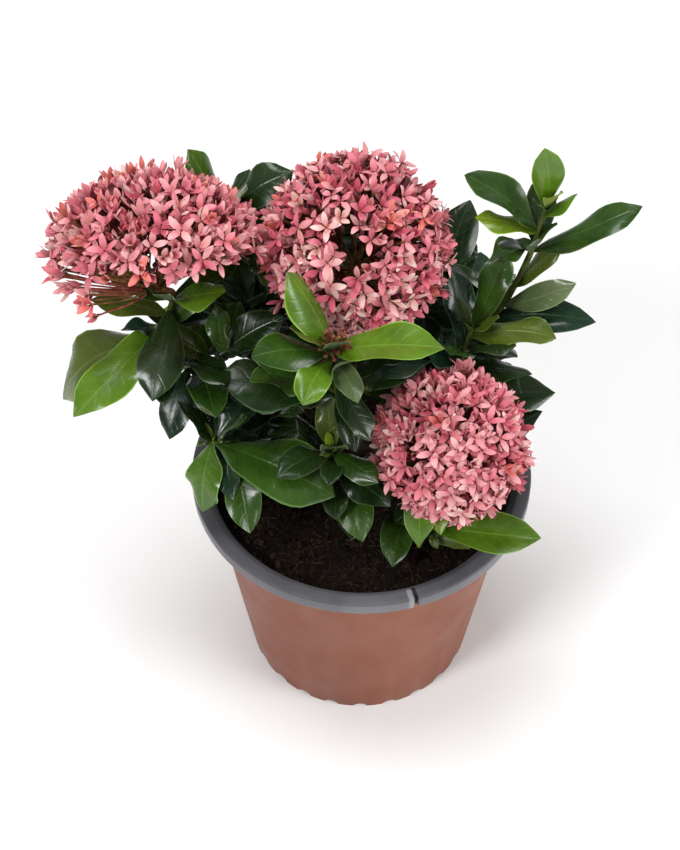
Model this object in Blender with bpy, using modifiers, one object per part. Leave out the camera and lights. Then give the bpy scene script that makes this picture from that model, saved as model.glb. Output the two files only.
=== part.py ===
"""Potted ixora: a small flowering shrub in a plastic nursery pot.

Metres, +Z up. The origin is the centre of the pot's flat underside and the plant's front
is towards -Y. Headings are degrees about +Z: 0 is the front, 90 the right (+X).
"""
import math
import random
from collections import namedtuple

import bmesh
import bpy
from mathutils import Matrix, Quaternion, Vector, noise
from mathutils.bvhtree import BVHTree

MM = 0.001
GAP = 0.3 * MM
SEED = 11

# ---- pot and soil ------------------------------------------------------------------------
POT_HEIGHT = 130 * MM
RIM_RADIUS = 85 * MM
LIP_WIDTH = 6 * MM
RIM_DROP = 7 * MM
RIM_SKIN = 1.4 * MM
NECK_RADIUS = 76.3 * MM
BASE_RADIUS = 60 * MM
WALL = 1.8 * MM
FLOOR = 2.5 * MM
ROUND_STEPS = 48
FOOT_NOTCHES = 24
NOTCH_WIDTH = 9 * MM
NOTCH_HEIGHT = 2.2 * MM
NOTCH_DEPTH = 3 * MM
DRAIN_HOLES = 6
DRAIN_RADIUS = 4 * MM
DRAIN_CIRCLE = 36 * MM
SOIL_TOP = 117 * MM
SOIL_BUMP = 2.2 * MM
STEM_PATCH = 17 * MM

# ---- wood --------------------------------------------------------------------------------
STEM_FOOT = (0, 6, 117)
STEM_HEAD = (-2, 9, 152)
STEM_RADIUS = 6 * MM
STEM_TIP_RADIUS = 4.2 * MM
STEM_FLARE = 1.5
BOUGH_RADIUS = 2.7 * MM
BOUGH_RISE = 0.35
SHOOT_RADIUS = 1.9 * MM
TWIG_LENGTH = 24 * MM
TWIG_RISE = 40
TWIG_RADIUS = 1.4 * MM
TWIG_TIP_RADIUS = 1.2 * MM
TWIG_ROOM = 1.4

# ---- leaves ------------------------------------------------------------------------------
LEAF_WIDTH = 0.44
LEAF_HALF_THICK = 0.55 * MM
PETIOLE_HALF_WIDTH = 0.6 * MM
KEEL = 0.16
BLADE_STATIONS = ((0.42, 1.0), (0.74, 0.80))
LEAF_CLEARANCE = 0.7 * MM
LEAF_ABOVE_SOIL = 4 * MM
LEAF_INSIDE_RIM = 12 * MM
OWN_START = 0.5
OTHERS_START = 0.04
LEAF_TRIES = 5
SWING = 8
SHRINK = 0.05
RULE_LEAF = 46
TWIG_LEAF = 41
TIP_PAIR = 0.62
PAIR_SPAN = (0.94, 0.25)

# ---- blooms ------------------------------------------------------------------------------
GOLDEN_ANGLE = math.radians(137.508)
FLORETS = 37
PETALS = 4
PETAL_REACH = 8.8 * MM
PETAL_NOTCH = 3.4 * MM
PETAL_HALF_THICK = 0.5 * MM
TUBE_RADIUS = 0.8 * MM
CORE_SHARE = 0.6
CORE_LIFT = 0.75
CORE_SINK = 0.72
BLOOM_MARGIN = 1.5 * MM
STALK_NECK = 3 * MM
STALK_GAP = 0.45 * MM
STALK_RADII = [1.3 * MM, 1.5 * MM, 1.9 * MM]
FAN_LEAN = 0.6

# A shoot runs foot -> knee -> head (mm) from the tip of its bough, which leaves the stem at
# `bough` (mm up, 0 for the stem's top). Its foremost leaves are aimed by hand, `pairs` more
# pairs follow by quarter turns, and `twigs` side twigs follow by the golden angle.
Shoot = namedtuple("Shoot", "bough foot knee head pairs twigs aims", defaults=[()])

# A leaf's aim: station along the shoot, heading and rise of its chord, length in mm, and how
# far it arches and rolls. `wide` scales its width, and `mate` is the length of the leaf
# opposite, if that one shows.
Aim = namedtuple("Aim", "station heading rise length arch roll wide mate", defaults=[0, 1, 0])

SHOOTS = {
    "left": Shoot(137, (-62, -2, 188), (-98, -4, 212), (-86, 4, 245), pairs=1, twigs=1, aims=(
        Aim(0.97, 70, 28, 31, 10, wide=1.2, mate=34), Aim(0.78, -44, -16, 62, 30, wide=0.75, mate=44),
        Aim(0.58, -80, -27, 69, 100, wide=1.1), Aim(0.90, -9, -24, 46, 50),
        Aim(0.95, -16, 52, 32, 10), Aim(0.85, -94, 11, 36, 10), Aim(0.35, -18, -37, 36, 30, mate=44),
        Aim(0.10, 37, 30, 50, 20), Aim(0.25, 25, 20, 40, 30))),
    "low_left": Shoot(126, (-46, -14, 146), (-62, -24, 164), (-70, -29, 184), pairs=2, twigs=1, aims=(
        Aim(0.98, -24, -66, 39, 20, wide=1.05), Aim(0.90, 60, 0, 65, 40, wide=1.1),
        Aim(0.70, 10, -39, 24, 20), Aim(0.50, 16, -25, 40, 30), Aim(0.40, 110, 20, 38, 20),
        Aim(0.85, 170, 15, 34, 20))),
    "front": Shoot(145, (-11, -20, 196), (-12, -27, 222), (-15, -31, 247), pairs=2, twigs=1, aims=(
        Aim(1.00, -116, 62, 43, 10, wide=1.15), Aim(0.97, 77, 15, 52, 25, wide=1.1),
        Aim(0.93, -64, 22, 41, 25),
        Aim(0.86, -22, 6, 34, 40), Aim(0.75, -100, 10, 36, 20), Aim(0.50, -75, 30, 46, 10),
        Aim(0.60, 33, -32, 34, 30), Aim(0.80, 26, -5, 26, 60), Aim(0.30, 18, -26, 30, 40),
        Aim(0.25, -84, 17, 58, 30))),
    "low_front": Shoot(130, (-7, -20, 146), (-13, -34, 166), (-15, -40, 190), pairs=2, twigs=1, aims=(
        Aim(0.95, 46, 5, 30, 30), Aim(0.90, -50, 14, 34, 50), Aim(0.80, -8, 4, 28, 60),
        Aim(0.60, 42, 6, 38, 30), Aim(0.40, 16, -8, 41, 40), Aim(0.55, -60, -5, 40, 30))),
    "low_right": Shoot(133, (20, -10, 146), (28, -20, 160), (36, -26, 168), pairs=1, twigs=1, aims=(
        Aim(0.70, 8, -18, 40, 30, wide=0.7), Aim(0.90, 110, 12, 56, 10))),
    "low_front_right": Shoot(122, (22, -22, 133), (26, -38, 138), (32, -50, 141), pairs=0, twigs=0, aims=(
        Aim(0.80, 78, 5, 56, 10, wide=0.85), Aim(0.20, -15, -6, 38, 50))),
    "middle": Shoot(0, (-2, 13, 176), (-2, 20, 200), (-2, 26, 226), pairs=3, twigs=2),
    "upper_right": Shoot(147, (54, 24, 196), (75, 24, 232), (80, 22, 281), pairs=0, twigs=0, aims=(
        Aim(1.00, -65, 83, 36, 10, roll=-105, wide=0.9), Aim(0.72, 86, 33, 55, 10, wide=0.7),
        Aim(0.86, -96, 40, 46, 20, wide=1.1), Aim(0.85, -80, 24, 33, 10, wide=0.8),
        Aim(0.76, 174, 65, 32, 0),
        Aim(0.95, 70, 52, 22, 10), Aim(1.00, 30, 60, 18, 10), Aim(0.78, -80, -20, 22, 30, wide=1.5),
        Aim(0.45, 92, 50, 32, 25, wide=0.9), Aim(0.30, 68, 39, 44, 40, roll=60, wide=0.65),
        Aim(0.18, 74, 14, 54, 75, roll=25, wide=0.75), Aim(0.70, 43, 64, 30, 20))),
    "right": Shoot(140, (34, 2, 176), (46, 4, 192), (50, 9, 218), pairs=0, twigs=1, aims=(
        Aim(1.00, 143, 70, 48, 0, wide=0.8), Aim(1.00, -59, 73, 26, 0), Aim(1.00, 53, 62, 22, 0),
        Aim(0.92, 77, 12, 43, 60), Aim(0.80, 53, 34, 32, 20), Aim(0.55, 67, 16, 38, 25),
        Aim(0.25, 89, -3, 53, 15), Aim(0.80, -155, 62, 39, 10), Aim(0.60, -65, 46, 46, 20))),
    "back_left": Shoot(144, (-38, 34, 186), (-58, 46, 216), (-68, 56, 253), pairs=3, twigs=1, aims=(
        Aim(0.90, -117, 66, 40, 5), Aim(0.90, 147, 62, 34, 10), Aim(0.85, 110, 36, 38, 20))),
    "back": Shoot(131, (-6, 42, 176), (-12, 60, 198), (-12, 68, 226), pairs=6, twigs=3),
    "back_right": Shoot(138, (30, 42, 166), (42, 56, 180), (42, 62, 204), pairs=6, twigs=3),
    "low_back_left": Shoot(124, (-34, 34, 142), (-56, 46, 158), (-62, 52, 184), pairs=4, twigs=2),
    "low_back_right": Shoot(126, (30, 34, 142), (46, 50, 154), (54, 56, 170), pairs=5, twigs=3),
}

# A bloom's florets lie on a dome about `centre` (mm) whose pole is at `heading`, `rise`. They
# fan out from a point `depth` below the centre, on a stalk that stands on the shoot of the
# same name. `gap` is an open place on the dome: heading, rise and half angle.
Bloom = namedtuple("Bloom", "centre heading rise across height depth cap gap", defaults=[None])
BLOOMS = {
    "left": Bloom((-92, 12, 271), -178, 63, across=47, height=31, depth=22, cap=98),
    "middle": Bloom((-4, 22, 259), -10, 70, across=43, height=42, depth=22, cap=110, gap=(0, 39, 15)),
    "low_right": Bloom((40, -36, 189), -2, 60, across=36, height=35, depth=20, cap=104),
}

MATERIALS = {
    "pot": ("terracotta_plastic", (0.26, 0.094, 0.052), 0.55),
    "soil": ("potting_soil", (0.022, 0.014, 0.010), 0.95),
    "wood": ("bark", (0.13, 0.085, 0.05), 0.8),
    "foliage": ("leaf_green", (0.045, 0.13, 0.018), 0.35),
    "bloom": ("petal_pink", (0.75, 0.26, 0.29), 0.6),
}


def mm(point):
    """A point given in millimetres, in metres."""
    return Vector(point) * MM


def bezier(points, t):
    """A point on the Bezier curve with these control points."""
    points = list(points)
    while len(points) > 1:
        points = [a.lerp(b, t) for a, b in zip(points, points[1:])]
    return points[0]


def heading_vector(heading, rise):
    """Unit vector at a heading and a rise above level, in degrees."""
    turn, lift = math.radians(heading), math.radians(rise)
    flat = math.cos(lift)
    return Vector((flat * math.sin(turn), -flat * math.cos(turn), math.sin(lift)))


def side_frame(axis):
    """Two unit vectors square to `axis` and to each other."""
    first = axis.orthogonal().normalized()
    return first, axis.cross(first).normalized()


# ---- skins: a list of rings of points, bridged and closed ----------------------------------
def loft(rings):
    """Vertices and faces of a skin over rings of equal size, closed by a cap or a point."""
    points, faces, rows = [], [], []
    for ring in rings:
        rows.append(range(len(points), len(points) + len(ring)))
        points.extend(ring)
    for low, high in zip(rows, rows[1:]):
        around = max(len(low), len(high))
        for i in range(around):
            j = (i + 1) % around
            corners = [low[i % len(low)], low[j % len(low)], high[j % len(high)], high[i % len(high)]]
            faces.append(tuple(dict.fromkeys(corners)))
    for row, turn in ((rows[0], -1), (rows[-1], 1)):
        if len(row) > 2:
            faces.append(tuple(row)[::turn])
    return points, faces


def tube_skin(path, radii, sides):
    """A tapering tube of flat sides along a path."""
    rings = []
    for i, (point, radius) in enumerate(zip(path, radii)):
        before, after = path[max(i - 1, 0)], path[min(i + 1, len(path) - 1)]
        axis = (after - before).normalized()
        across = axis.cross(Vector((0.31, -0.87, 0.38))).normalized()
        upward = axis.cross(across)
        angles = [math.tau * k / sides for k in range(sides)]
        rings.append([point + radius * (math.cos(a) * across + math.sin(a) * upward) for a in angles])
    return loft(rings)


# ---- leaves --------------------------------------------------------------------------------
Leaf = namedtuple("Leaf", "root along face length width arch")


def make_leaf(root, aim):
    """The leaf of an aim: its chord points where the aim says and its tip arches down."""
    start = aim.rise + aim.arch / 2
    turn = Quaternion(heading_vector(aim.heading, aim.rise), math.radians(aim.roll))
    along = turn @ heading_vector(aim.heading, start)
    face = turn @ heading_vector(aim.heading, start + 90)
    length = aim.length * MM
    return Leaf(root, along, face, length, length * LEAF_WIDTH * aim.wide, math.radians(aim.arch))


def leaf_frame(leaf, t):
    """Centre line point, direction and upper face normal of a leaf at t, from root to tip."""
    bend = leaf.arch * t
    if abs(leaf.arch) < 1e-6:
        point = leaf.root + leaf.along * leaf.length * t
    else:
        run = leaf.length / leaf.arch
        point = leaf.root + run * (math.sin(bend) * leaf.along - (1 - math.cos(bend)) * leaf.face)
    along = math.cos(bend) * leaf.along - math.sin(bend) * leaf.face
    face = math.cos(bend) * leaf.face + math.sin(bend) * leaf.along
    return point, along, face


def leaf_skin(leaf, start=0.0, margin=0.0):
    """A keeled blade that tapers from a sunk root to its tip, with room to spare on request."""
    across = leaf.along.cross(leaf.face)
    rings = []
    for t, share in ((start, None),) + BLADE_STATIONS:
        point, along, face = leaf_frame(leaf, t)
        half = PETIOLE_HALF_WIDTH + start * leaf.width if share is None else share * leaf.width / 2
        half += margin
        lift = KEEL * half if share else 0.0
        thick = LEAF_HALF_THICK * (1.0 if share else 0.8) + margin
        rings.append([point - half * across + lift * face, point - thick * face,
                      point + half * across + lift * face, point + thick * face])
    tip, along, face = leaf_frame(leaf, 1.0)
    rings.append([tip + margin * along])
    return loft(rings)


# ---- growth: every twig and leaf, in a fixed order, each kept only where it is clear ---------
class Thicket:
    """What has grown so far, as one search tree a piece, with the name of its owner."""

    def __init__(self):
        self.pieces = []

    def add(self, owner, skin):
        self.pieces.append((owner, *skin_box(skin), BVHTree.FromPolygons(*skin)))

    def touches(self, owner, skin, own=False):
        """Whether a skin meets a piece that is the owner's own, or not its own."""
        low, high = skin_box(skin)
        tree = BVHTree.FromPolygons(*skin)
        for name, other_low, other_high, other in self.pieces:
            if (name == owner) != own:
                continue
            apart = any(high[k] < other_low[k] or other_high[k] < low[k] for k in range(3))
            if not apart and tree.overlap(other):
                return True
        return False


def skin_box(skin):
    """Lowest and highest coordinates of a skin."""
    columns = list(zip(*skin[0]))
    return [min(c) for c in columns], [max(c) for c in columns]


def bloom_frame(bloom):
    """Centre and pole of a bloom's dome, and the point that its tubes fan out from."""
    centre = mm(bloom.centre)
    pole = heading_vector(bloom.heading, bloom.rise)
    return centre, pole, centre - pole * bloom.depth * MM


def in_gap(bloom, offset):
    """Whether an offset from a bloom's centre points through its open place."""
    if not bloom.gap:
        return False
    heading, rise, half_angle = bloom.gap
    return heading_vector(heading, rise).angle(offset) < math.radians(half_angle)


def in_bloom(bloom, point):
    """Whether a point lies in a bloom's dome or in the fan of tubes under it."""
    centre, pole, _ = bloom_frame(bloom)
    offset = point - centre
    if in_gap(bloom, offset):
        return False
    up = offset.dot(pole)
    out = (offset - up * pole).length
    across, height = bloom.across * MM + BLOOM_MARGIN, bloom.height * MM + BLOOM_MARGIN
    depth = bloom.depth * MM
    if up > 0:
        return (out / across) ** 2 + (up / height) ** 2 < 1
    floor = height * -math.cos(math.radians(bloom.cap))
    if up > -floor:
        return (out / across) ** 2 + (up / height) ** 2 < 1
    return up > -depth - floor and out < across * 0.8 * (1 + (up + floor) / depth)


def in_any_bloom(point):
    """Whether a point lies in one of the blooms."""
    return any(in_bloom(bloom, point) for bloom in BLOOMS.values())


def leaf_is_clear(owner, leaf, thicket):
    """Whether a leaf stays out of the pot, the blooms and all that has grown so far."""
    for t in (0.35, 0.7, 1.0):
        point = leaf_frame(leaf, t)[0]
        if point.z < SOIL_TOP + LEAF_ABOVE_SOIL:
            return False
        out = math.hypot(point.x, point.y)
        if point.z < POT_HEIGHT + 2 * MM and out > RIM_RADIUS - LEAF_INSIDE_RIM:
            return False
        if in_any_bloom(point):
            return False
    if thicket.touches(owner, leaf_skin(leaf, OWN_START), own=True):
        return False
    return not thicket.touches(owner, leaf_skin(leaf, OTHERS_START, LEAF_CLEARANCE))


def grow_leaf(owner, root, aim, chance, thicket):
    """The first clear leaf near an aim, or None."""
    for attempt in range(LEAF_TRIES):
        swing = SWING * attempt
        leaf = make_leaf(root, aim._replace(heading=aim.heading + chance.uniform(-swing, swing),
                                            rise=aim.rise + chance.uniform(-swing, swing),
                                            length=aim.length * (1 - SHRINK * attempt)))
        if leaf_is_clear(owner, leaf, thicket):
            thicket.add(owner, leaf_skin(leaf))
            return leaf
    return None


def shoot_path(shoot, steps=5):
    """Points along a shoot from its foot to its head."""
    controls = [mm(shoot.foot), mm(shoot.knee), mm(shoot.head)]
    return [bezier(controls, i / (steps - 1)) for i in range(steps)]


def bough_path(shoot, steps=6):
    """Points along the bough of a shoot, from inside the stem to 0.3 mm below the foot."""
    foot = mm(shoot.foot)
    lead = (mm(shoot.knee) - foot).normalized()
    low, high = mm(STEM_FOOT), mm(STEM_HEAD)
    end = foot - lead * GAP
    if shoot.bough:
        root = low.lerp(high, (shoot.bough * MM - low.z) / (high.z - low.z))
        rising = Vector((end.x - root.x, end.y - root.y, 0)).normalized() + Vector((0, 0, BOUGH_RISE))
    else:
        rising = high - low
        root = high + rising.normalized() * GAP
    third = (end - root).length / 3
    controls = [root, root + rising.normalized() * third, end - lead * third, end]
    return [bezier(controls, i / (steps - 1)) for i in range(steps)]


def spread(first, last, count):
    """Evenly spaced numbers from first to last."""
    return [first + (last - first) * i / max(count - 1, 1) for i in range(count)]


def quarter_turn_aims(count, turn, size):
    """Aims of opposite pairs down a twig, each pair a quarter turn on from the last."""
    aims = []
    for i, station in enumerate(spread(*PAIR_SPAN, count)):
        length = size * (TIP_PAIR if i == 0 else 1.0)
        for mate in (0, 180):
            heading = turn + 90 * i + mate
            aims.append(Aim(station, heading, 62 * station - 4, length, 40 - 25 * station))
    return aims


def grow_twigs(name, shoot, chance, thicket):
    """Side twigs of a shoot, by the golden angle, each as its path of three points."""
    controls = [mm(shoot.foot), mm(shoot.knee), mm(shoot.head)]
    turn = chance.uniform(0, 360)
    twigs = []
    for i, station in enumerate(spread(0.3, 0.75, shoot.twigs)):
        root = bezier(controls, station)
        lean = heading_vector(turn + math.degrees(GOLDEN_ANGLE) * i, TWIG_RISE) * TWIG_LENGTH
        path = [root, root + lean / 2, root + lean]
        whole = tube_skin(path, [TWIG_RADIUS * TWIG_ROOM] * 3, 4)
        outer = tube_skin([root + lean / 5, path[2]], [TWIG_RADIUS * TWIG_ROOM] * 2, 4)
        blocked = thicket.touches(name, whole) or thicket.touches(name, outer, own=True)
        if not blocked and not any(in_any_bloom(point) for point in path[1:]):
            twigs.append(path)
    return twigs


def grow_mass(name, thicket):
    """Twigs and leaves of one mass: the hand-aimed leaves first, then those by rule."""
    shoot = SHOOTS[name]
    chance = random.Random(f"{SEED} {name}")
    controls = [mm(shoot.foot), mm(shoot.knee), mm(shoot.head)]
    leaves = [grow_leaf(name, bezier(controls, aim.station), aim, chance, thicket) for aim in shoot.aims]
    for aim in shoot.aims:
        if aim.mate:
            mate = aim._replace(heading=aim.heading + 180, rise=abs(aim.rise) / 2, length=aim.mate, roll=0)
            leaves.append(grow_leaf(name, bezier(controls, aim.station), mate, chance, thicket))
    twigs = grow_twigs(name, shoot, chance, thicket)
    for path in twigs:
        thicket.add(name, tube_skin(path, spread(TWIG_RADIUS, TWIG_TIP_RADIUS, 3), 3))
    for aim in quarter_turn_aims(shoot.pairs, chance.uniform(0, 90), RULE_LEAF):
        leaves.append(grow_leaf(name, bezier(controls, aim.station), aim, chance, thicket))
    for path in twigs:
        for aim in quarter_turn_aims(3, chance.uniform(0, 90), TWIG_LEAF):
            leaves.append(grow_leaf(name, path[0].lerp(path[2], aim.station), aim, chance, thicket))
    return twigs, [leaf for leaf in leaves if leaf]


def floret_places(bloom, count, chance):
    """Places and facings of florets, dealt over the dome by the golden angle."""
    centre, pole, fan = bloom_frame(bloom)
    east, north = side_frame(pole)
    low = math.cos(math.radians(bloom.cap))
    places = []
    for i in range(count):
        up = 1 - (1 - low) * (i + 0.5) / count
        out = math.sqrt(1 - up * up)
        turn = GOLDEN_ANGLE * i + chance.uniform(-0.12, 0.12)
        flat = out * (math.cos(turn) * east + math.sin(turn) * north)
        reach = chance.uniform(0.93, 1.0)
        place = centre + reach * MM * (bloom.across * flat + bloom.height * up * pole)
        if in_gap(bloom, place - centre):
            continue
        outward = (flat / bloom.across + up * pole / bloom.height).normalized()
        facing = (outward + FAN_LEAN * (place - fan).normalized()).normalized()
        places.append((place, facing, fan, chance.uniform(0, math.tau)))
    return places


def floret_star(place, facing, spin):
    """A flat star of four pointed petals."""
    east, north = side_frame(facing)
    outline = []
    for i in range(PETALS * 2):
        turn = spin + math.pi * i / PETALS
        reach = PETAL_REACH if i % 2 == 0 else PETAL_NOTCH
        outline.append(place + reach * (math.cos(turn) * east + math.sin(turn) * north))
    return loft([[place - PETAL_HALF_THICK * 2 * facing], outline, [place + PETAL_HALF_THICK * facing]])


def core_edge(bloom, place):
    """A point just inside a bloom's core, on the way in from a floret."""
    centre, _, fan = bloom_frame(bloom)
    return fan.lerp(centre, CORE_LIFT).lerp(place, CORE_SHARE * CORE_SINK)


def core_skin(bloom):
    """The packed inner tubes of a bloom, as a coarse ellipsoid under the stars."""
    centre, pole, fan = bloom_frame(bloom)
    east, north = side_frame(pole)
    middle = fan.lerp(centre, CORE_LIFT)
    rings = [[fan - pole * 2 * MM]]
    for lift in (-0.5, 0.1, 0.65):
        out = math.sqrt(1 - lift * lift) * CORE_SHARE * bloom.across * MM
        level = middle + pole * lift * CORE_SHARE * bloom.height * MM
        angles = [math.tau * k / 8 for k in range(8)]
        rings.append([level + out * (math.cos(a) * east + math.sin(a) * north) for a in angles])
    rings.append([middle + pole * CORE_SHARE * bloom.height * MM])
    return loft(rings)


def stalk_path(name):
    """The stalk of a bloom: off its shoot's head, then to the point that the tubes fan from."""
    head, knee = mm(SHOOTS[name].head), mm(SHOOTS[name].knee)
    lead = (head - knee).normalized()
    return [head + lead * STALK_GAP, head + lead * STALK_NECK, bloom_frame(BLOOMS[name])[2]]


def grow_bloom(name, thicket):
    """Stars and tubes of one bloom, where no leaf stands in the way."""
    bloom = BLOOMS[name]
    chance = random.Random(f"{SEED} bloom {name}")
    skins = []
    for place, facing, fan, spin in floret_places(bloom, FLORETS, chance):
        star = floret_star(place, facing, spin)
        base = core_edge(bloom, place)
        tube = tube_skin([base, place - PETAL_HALF_THICK * facing], [TUBE_RADIUS, TUBE_RADIUS], 3)
        outer = tube_skin([base, place], [TUBE_RADIUS + GAP, TUBE_RADIUS + GAP], 3)
        if not (thicket.touches("core", star) or thicket.touches("core", outer)):
            skins.extend((star, tube))
    for skin in skins:
        thicket.add("florets", skin)
    return skins


def grow_plant():
    """Every limb, mass and bloom of the plant, in metres."""
    thicket = Thicket()
    boughs = {name: bough_path(shoot) for name, shoot in SHOOTS.items()}
    for path in boughs.values():
        thicket.add("wood", tube_skin(path, [BOUGH_RADIUS + GAP] * len(path), 6))
    thicket.add("wood", tube_skin([mm(STEM_FOOT), mm(STEM_HEAD)], [STEM_RADIUS + GAP] * 2, 8))
    for name, shoot in SHOOTS.items():
        path = shoot_path(shoot)
        thicket.add(name, tube_skin(path, spread(SHOOT_RADIUS, TWIG_TIP_RADIUS, len(path)), 3))
    for name, bloom in BLOOMS.items():
        thicket.add("stalk", tube_skin(stalk_path(name), STALK_RADII, 4))
        thicket.add("core", core_skin(bloom))
    masses = {name: grow_mass(name, thicket) for name in SHOOTS}
    blooms = {name: grow_bloom(name, thicket) for name in BLOOMS}
    return boughs, masses, blooms


# ---- Blender objects -----------------------------------------------------------------------
def start_scene():
    """An empty scene with a collection for the plant and one for its cutters."""
    for obj in list(bpy.data.objects):
        bpy.data.objects.remove(obj, do_unlink=True)
    collections = []
    for name in ("potted_ixora", "cutters"):
        collection = bpy.data.collections.new(name)
        bpy.context.scene.collection.children.link(collection)
        collections.append(collection)
    return collections


def make_materials():
    """One Principled material a kind of surface."""
    made = {}
    for key, (name, colour, roughness) in MATERIALS.items():
        material = bpy.data.materials.new(name)
        material.use_nodes = True
        shader = material.node_tree.nodes["Principled BSDF"]
        shader.inputs["Base Color"].default_value = (*colour, 1.0)
        shader.inputs["Roughness"].default_value = roughness
        made[key] = material
    return made


def add_object(name, data, collection, material=None):
    """A new object on some mesh or curve data."""
    obj = bpy.data.objects.new(name, data)
    collection.objects.link(obj)
    if material:
        data.materials.append(material)
    return obj


def mesh_from_skin(name, skin):
    """A mesh with its faces pointing out."""
    mesh = bpy.data.meshes.new(name)
    mesh.from_pydata(skin[0], [], skin[1])
    shape = bmesh.new()
    shape.from_mesh(mesh)
    bmesh.ops.recalc_face_normals(shape, faces=shape.faces)
    shape.to_mesh(mesh)
    shape.free()
    return mesh


def apply_modifiers(obj, collection):
    """A plain mesh object in place of one with modifiers or of a curve."""
    depsgraph = bpy.context.evaluated_depsgraph_get()
    mesh = bpy.data.meshes.new_from_object(obj.evaluated_get(depsgraph))
    shape = bmesh.new()
    shape.from_mesh(mesh)
    bmesh.ops.remove_doubles(shape, verts=shape.verts, dist=0.002 * MM)
    shape.to_mesh(mesh)
    shape.free()
    name, matrix = obj.name, obj.matrix_world.copy()
    bpy.data.objects.remove(obj, do_unlink=True)
    plain = bpy.data.objects.new(name, mesh)
    plain.matrix_world = matrix
    collection.objects.link(plain)
    return plain


def keep_outer_body(mesh):
    """Drop loose scraps and sealed hollows, leaving the largest body of a mesh."""
    shape = bmesh.new()
    shape.from_mesh(mesh)
    unseen = set(shape.verts)
    bodies = []
    while unseen:
        queue = [unseen.pop()]
        body = set(queue)
        while queue:
            for edge in queue.pop().link_edges:
                for vert in edge.verts:
                    if vert in unseen:
                        unseen.discard(vert)
                        body.add(vert)
                        queue.append(vert)
        bodies.append(body)
    bodies.sort(key=len)
    scraps = [vert for body in bodies[:-1] for vert in body]
    bmesh.ops.delete(shape, geom=scraps, context="VERTS")
    bmesh.ops.triangulate(shape, faces=shape.faces)
    shape.to_mesh(mesh)
    shape.free()


def fuse(name, skins, collection, material):
    """One solid from overlapping skins, by a Boolean union on a collection."""
    operands = bpy.data.collections.new(name + "_pieces")
    bpy.context.scene.collection.children.link(operands)
    for i, skin in enumerate(skins[1:]):
        add_object(f"{name}_piece_{i}", mesh_from_skin(name, skin), operands)
    obj = add_object(name, mesh_from_skin(name, skins[0]), collection)
    union = obj.modifiers.new("union", "BOOLEAN")
    union.operation = "UNION"
    union.operand_type = "COLLECTION"
    union.collection = operands
    union.solver = "EXACT"
    obj = apply_modifiers(obj, collection)
    for piece in list(operands.objects):
        bpy.data.objects.remove(piece, do_unlink=True)
    bpy.data.collections.remove(operands)
    keep_outer_body(obj.data)
    obj.data.materials.clear()
    obj.data.materials.append(material)
    return obj


def turned(name, profile, collection, material):
    """A body of revolution from a profile of (radius, height) points, outer side downward."""
    mesh = bpy.data.meshes.new(name)
    points = [(radius, 0.0, height) for radius, height in profile]
    mesh.from_pydata(points, [(i, i + 1) for i in range(len(points) - 1)], [])
    obj = add_object(name, mesh, collection, material)
    screw = obj.modifiers.new("turn", "SCREW")
    screw.steps = screw.render_steps = ROUND_STEPS
    screw.use_merge_vertices = True
    screw.merge_threshold = 0.01 * MM
    return apply_modifiers(obj, collection)


def cut(obj, cutter):
    """A Boolean on obj with a cutter that stays hidden."""
    cutter.hide_render = True
    cutter.display_type = "WIRE"
    change = obj.modifiers.new("cut", "BOOLEAN")
    change.operation = "DIFFERENCE"
    change.object = cutter
    change.solver = "EXACT"


def inner_radius(height):
    """Radius of the pot's inner wall at a height."""
    return BASE_RADIUS - WALL + (NECK_RADIUS - BASE_RADIUS) * height / (POT_HEIGHT - RIM_DROP)


def ring_of_cylinders(name, count, radius, depth, circle, height, level, collection):
    """Equal cylinders spaced round a circle, lying outward or upright, as one cutter."""
    shape = bmesh.new()
    for i in range(count):
        turn = Matrix.Rotation(math.tau * i / count, 4, "Z")
        tilt = Matrix.Rotation(math.pi / 2, 4, "Y") if level else Matrix()
        place = turn @ Matrix.Translation((circle, 0, height)) @ tilt
        bmesh.ops.create_cone(shape, cap_ends=True, segments=8, radius1=radius, radius2=radius,
                              depth=depth, matrix=place)
    mesh = bpy.data.meshes.new(name)
    shape.to_mesh(mesh)
    shape.free()
    return add_object(name, mesh, collection)


def make_pot(collection, cutters, material):
    """The pot: a thin tapered wall, a hooked rim, a notched foot and drain holes."""
    lip = RIM_RADIUS - LIP_WIDTH
    neck_drop = LIP_WIDTH * 0.6
    profile = [
        (0, FLOOR),
        (inner_radius(FLOOR), FLOOR),
        (inner_radius(POT_HEIGHT - neck_drop), POT_HEIGHT - neck_drop),
        (lip, POT_HEIGHT),
        (RIM_RADIUS, POT_HEIGHT),
        (RIM_RADIUS, POT_HEIGHT - RIM_DROP),
        (RIM_RADIUS - RIM_SKIN, POT_HEIGHT - RIM_DROP),
        (RIM_RADIUS - RIM_SKIN, POT_HEIGHT - RIM_SKIN),
        (inner_radius(POT_HEIGHT - RIM_SKIN) + WALL + RIM_SKIN, POT_HEIGHT - RIM_SKIN),
        (NECK_RADIUS, POT_HEIGHT - RIM_DROP),
        (BASE_RADIUS, 0),
        (0, 0),
    ]
    pot = turned("pot", profile, collection, material)
    notches = ring_of_cylinders("foot_notches", FOOT_NOTCHES, NOTCH_WIDTH / 2, NOTCH_DEPTH * 2, BASE_RADIUS,
                                NOTCH_HEIGHT - NOTCH_WIDTH / 2, True, cutters)
    holes = ring_of_cylinders("drain_holes", DRAIN_HOLES, DRAIN_RADIUS, FLOOR * 4, DRAIN_CIRCLE, 0,
                              False, cutters)
    cut(pot, notches)
    cut(pot, holes)
    return pot


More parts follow.
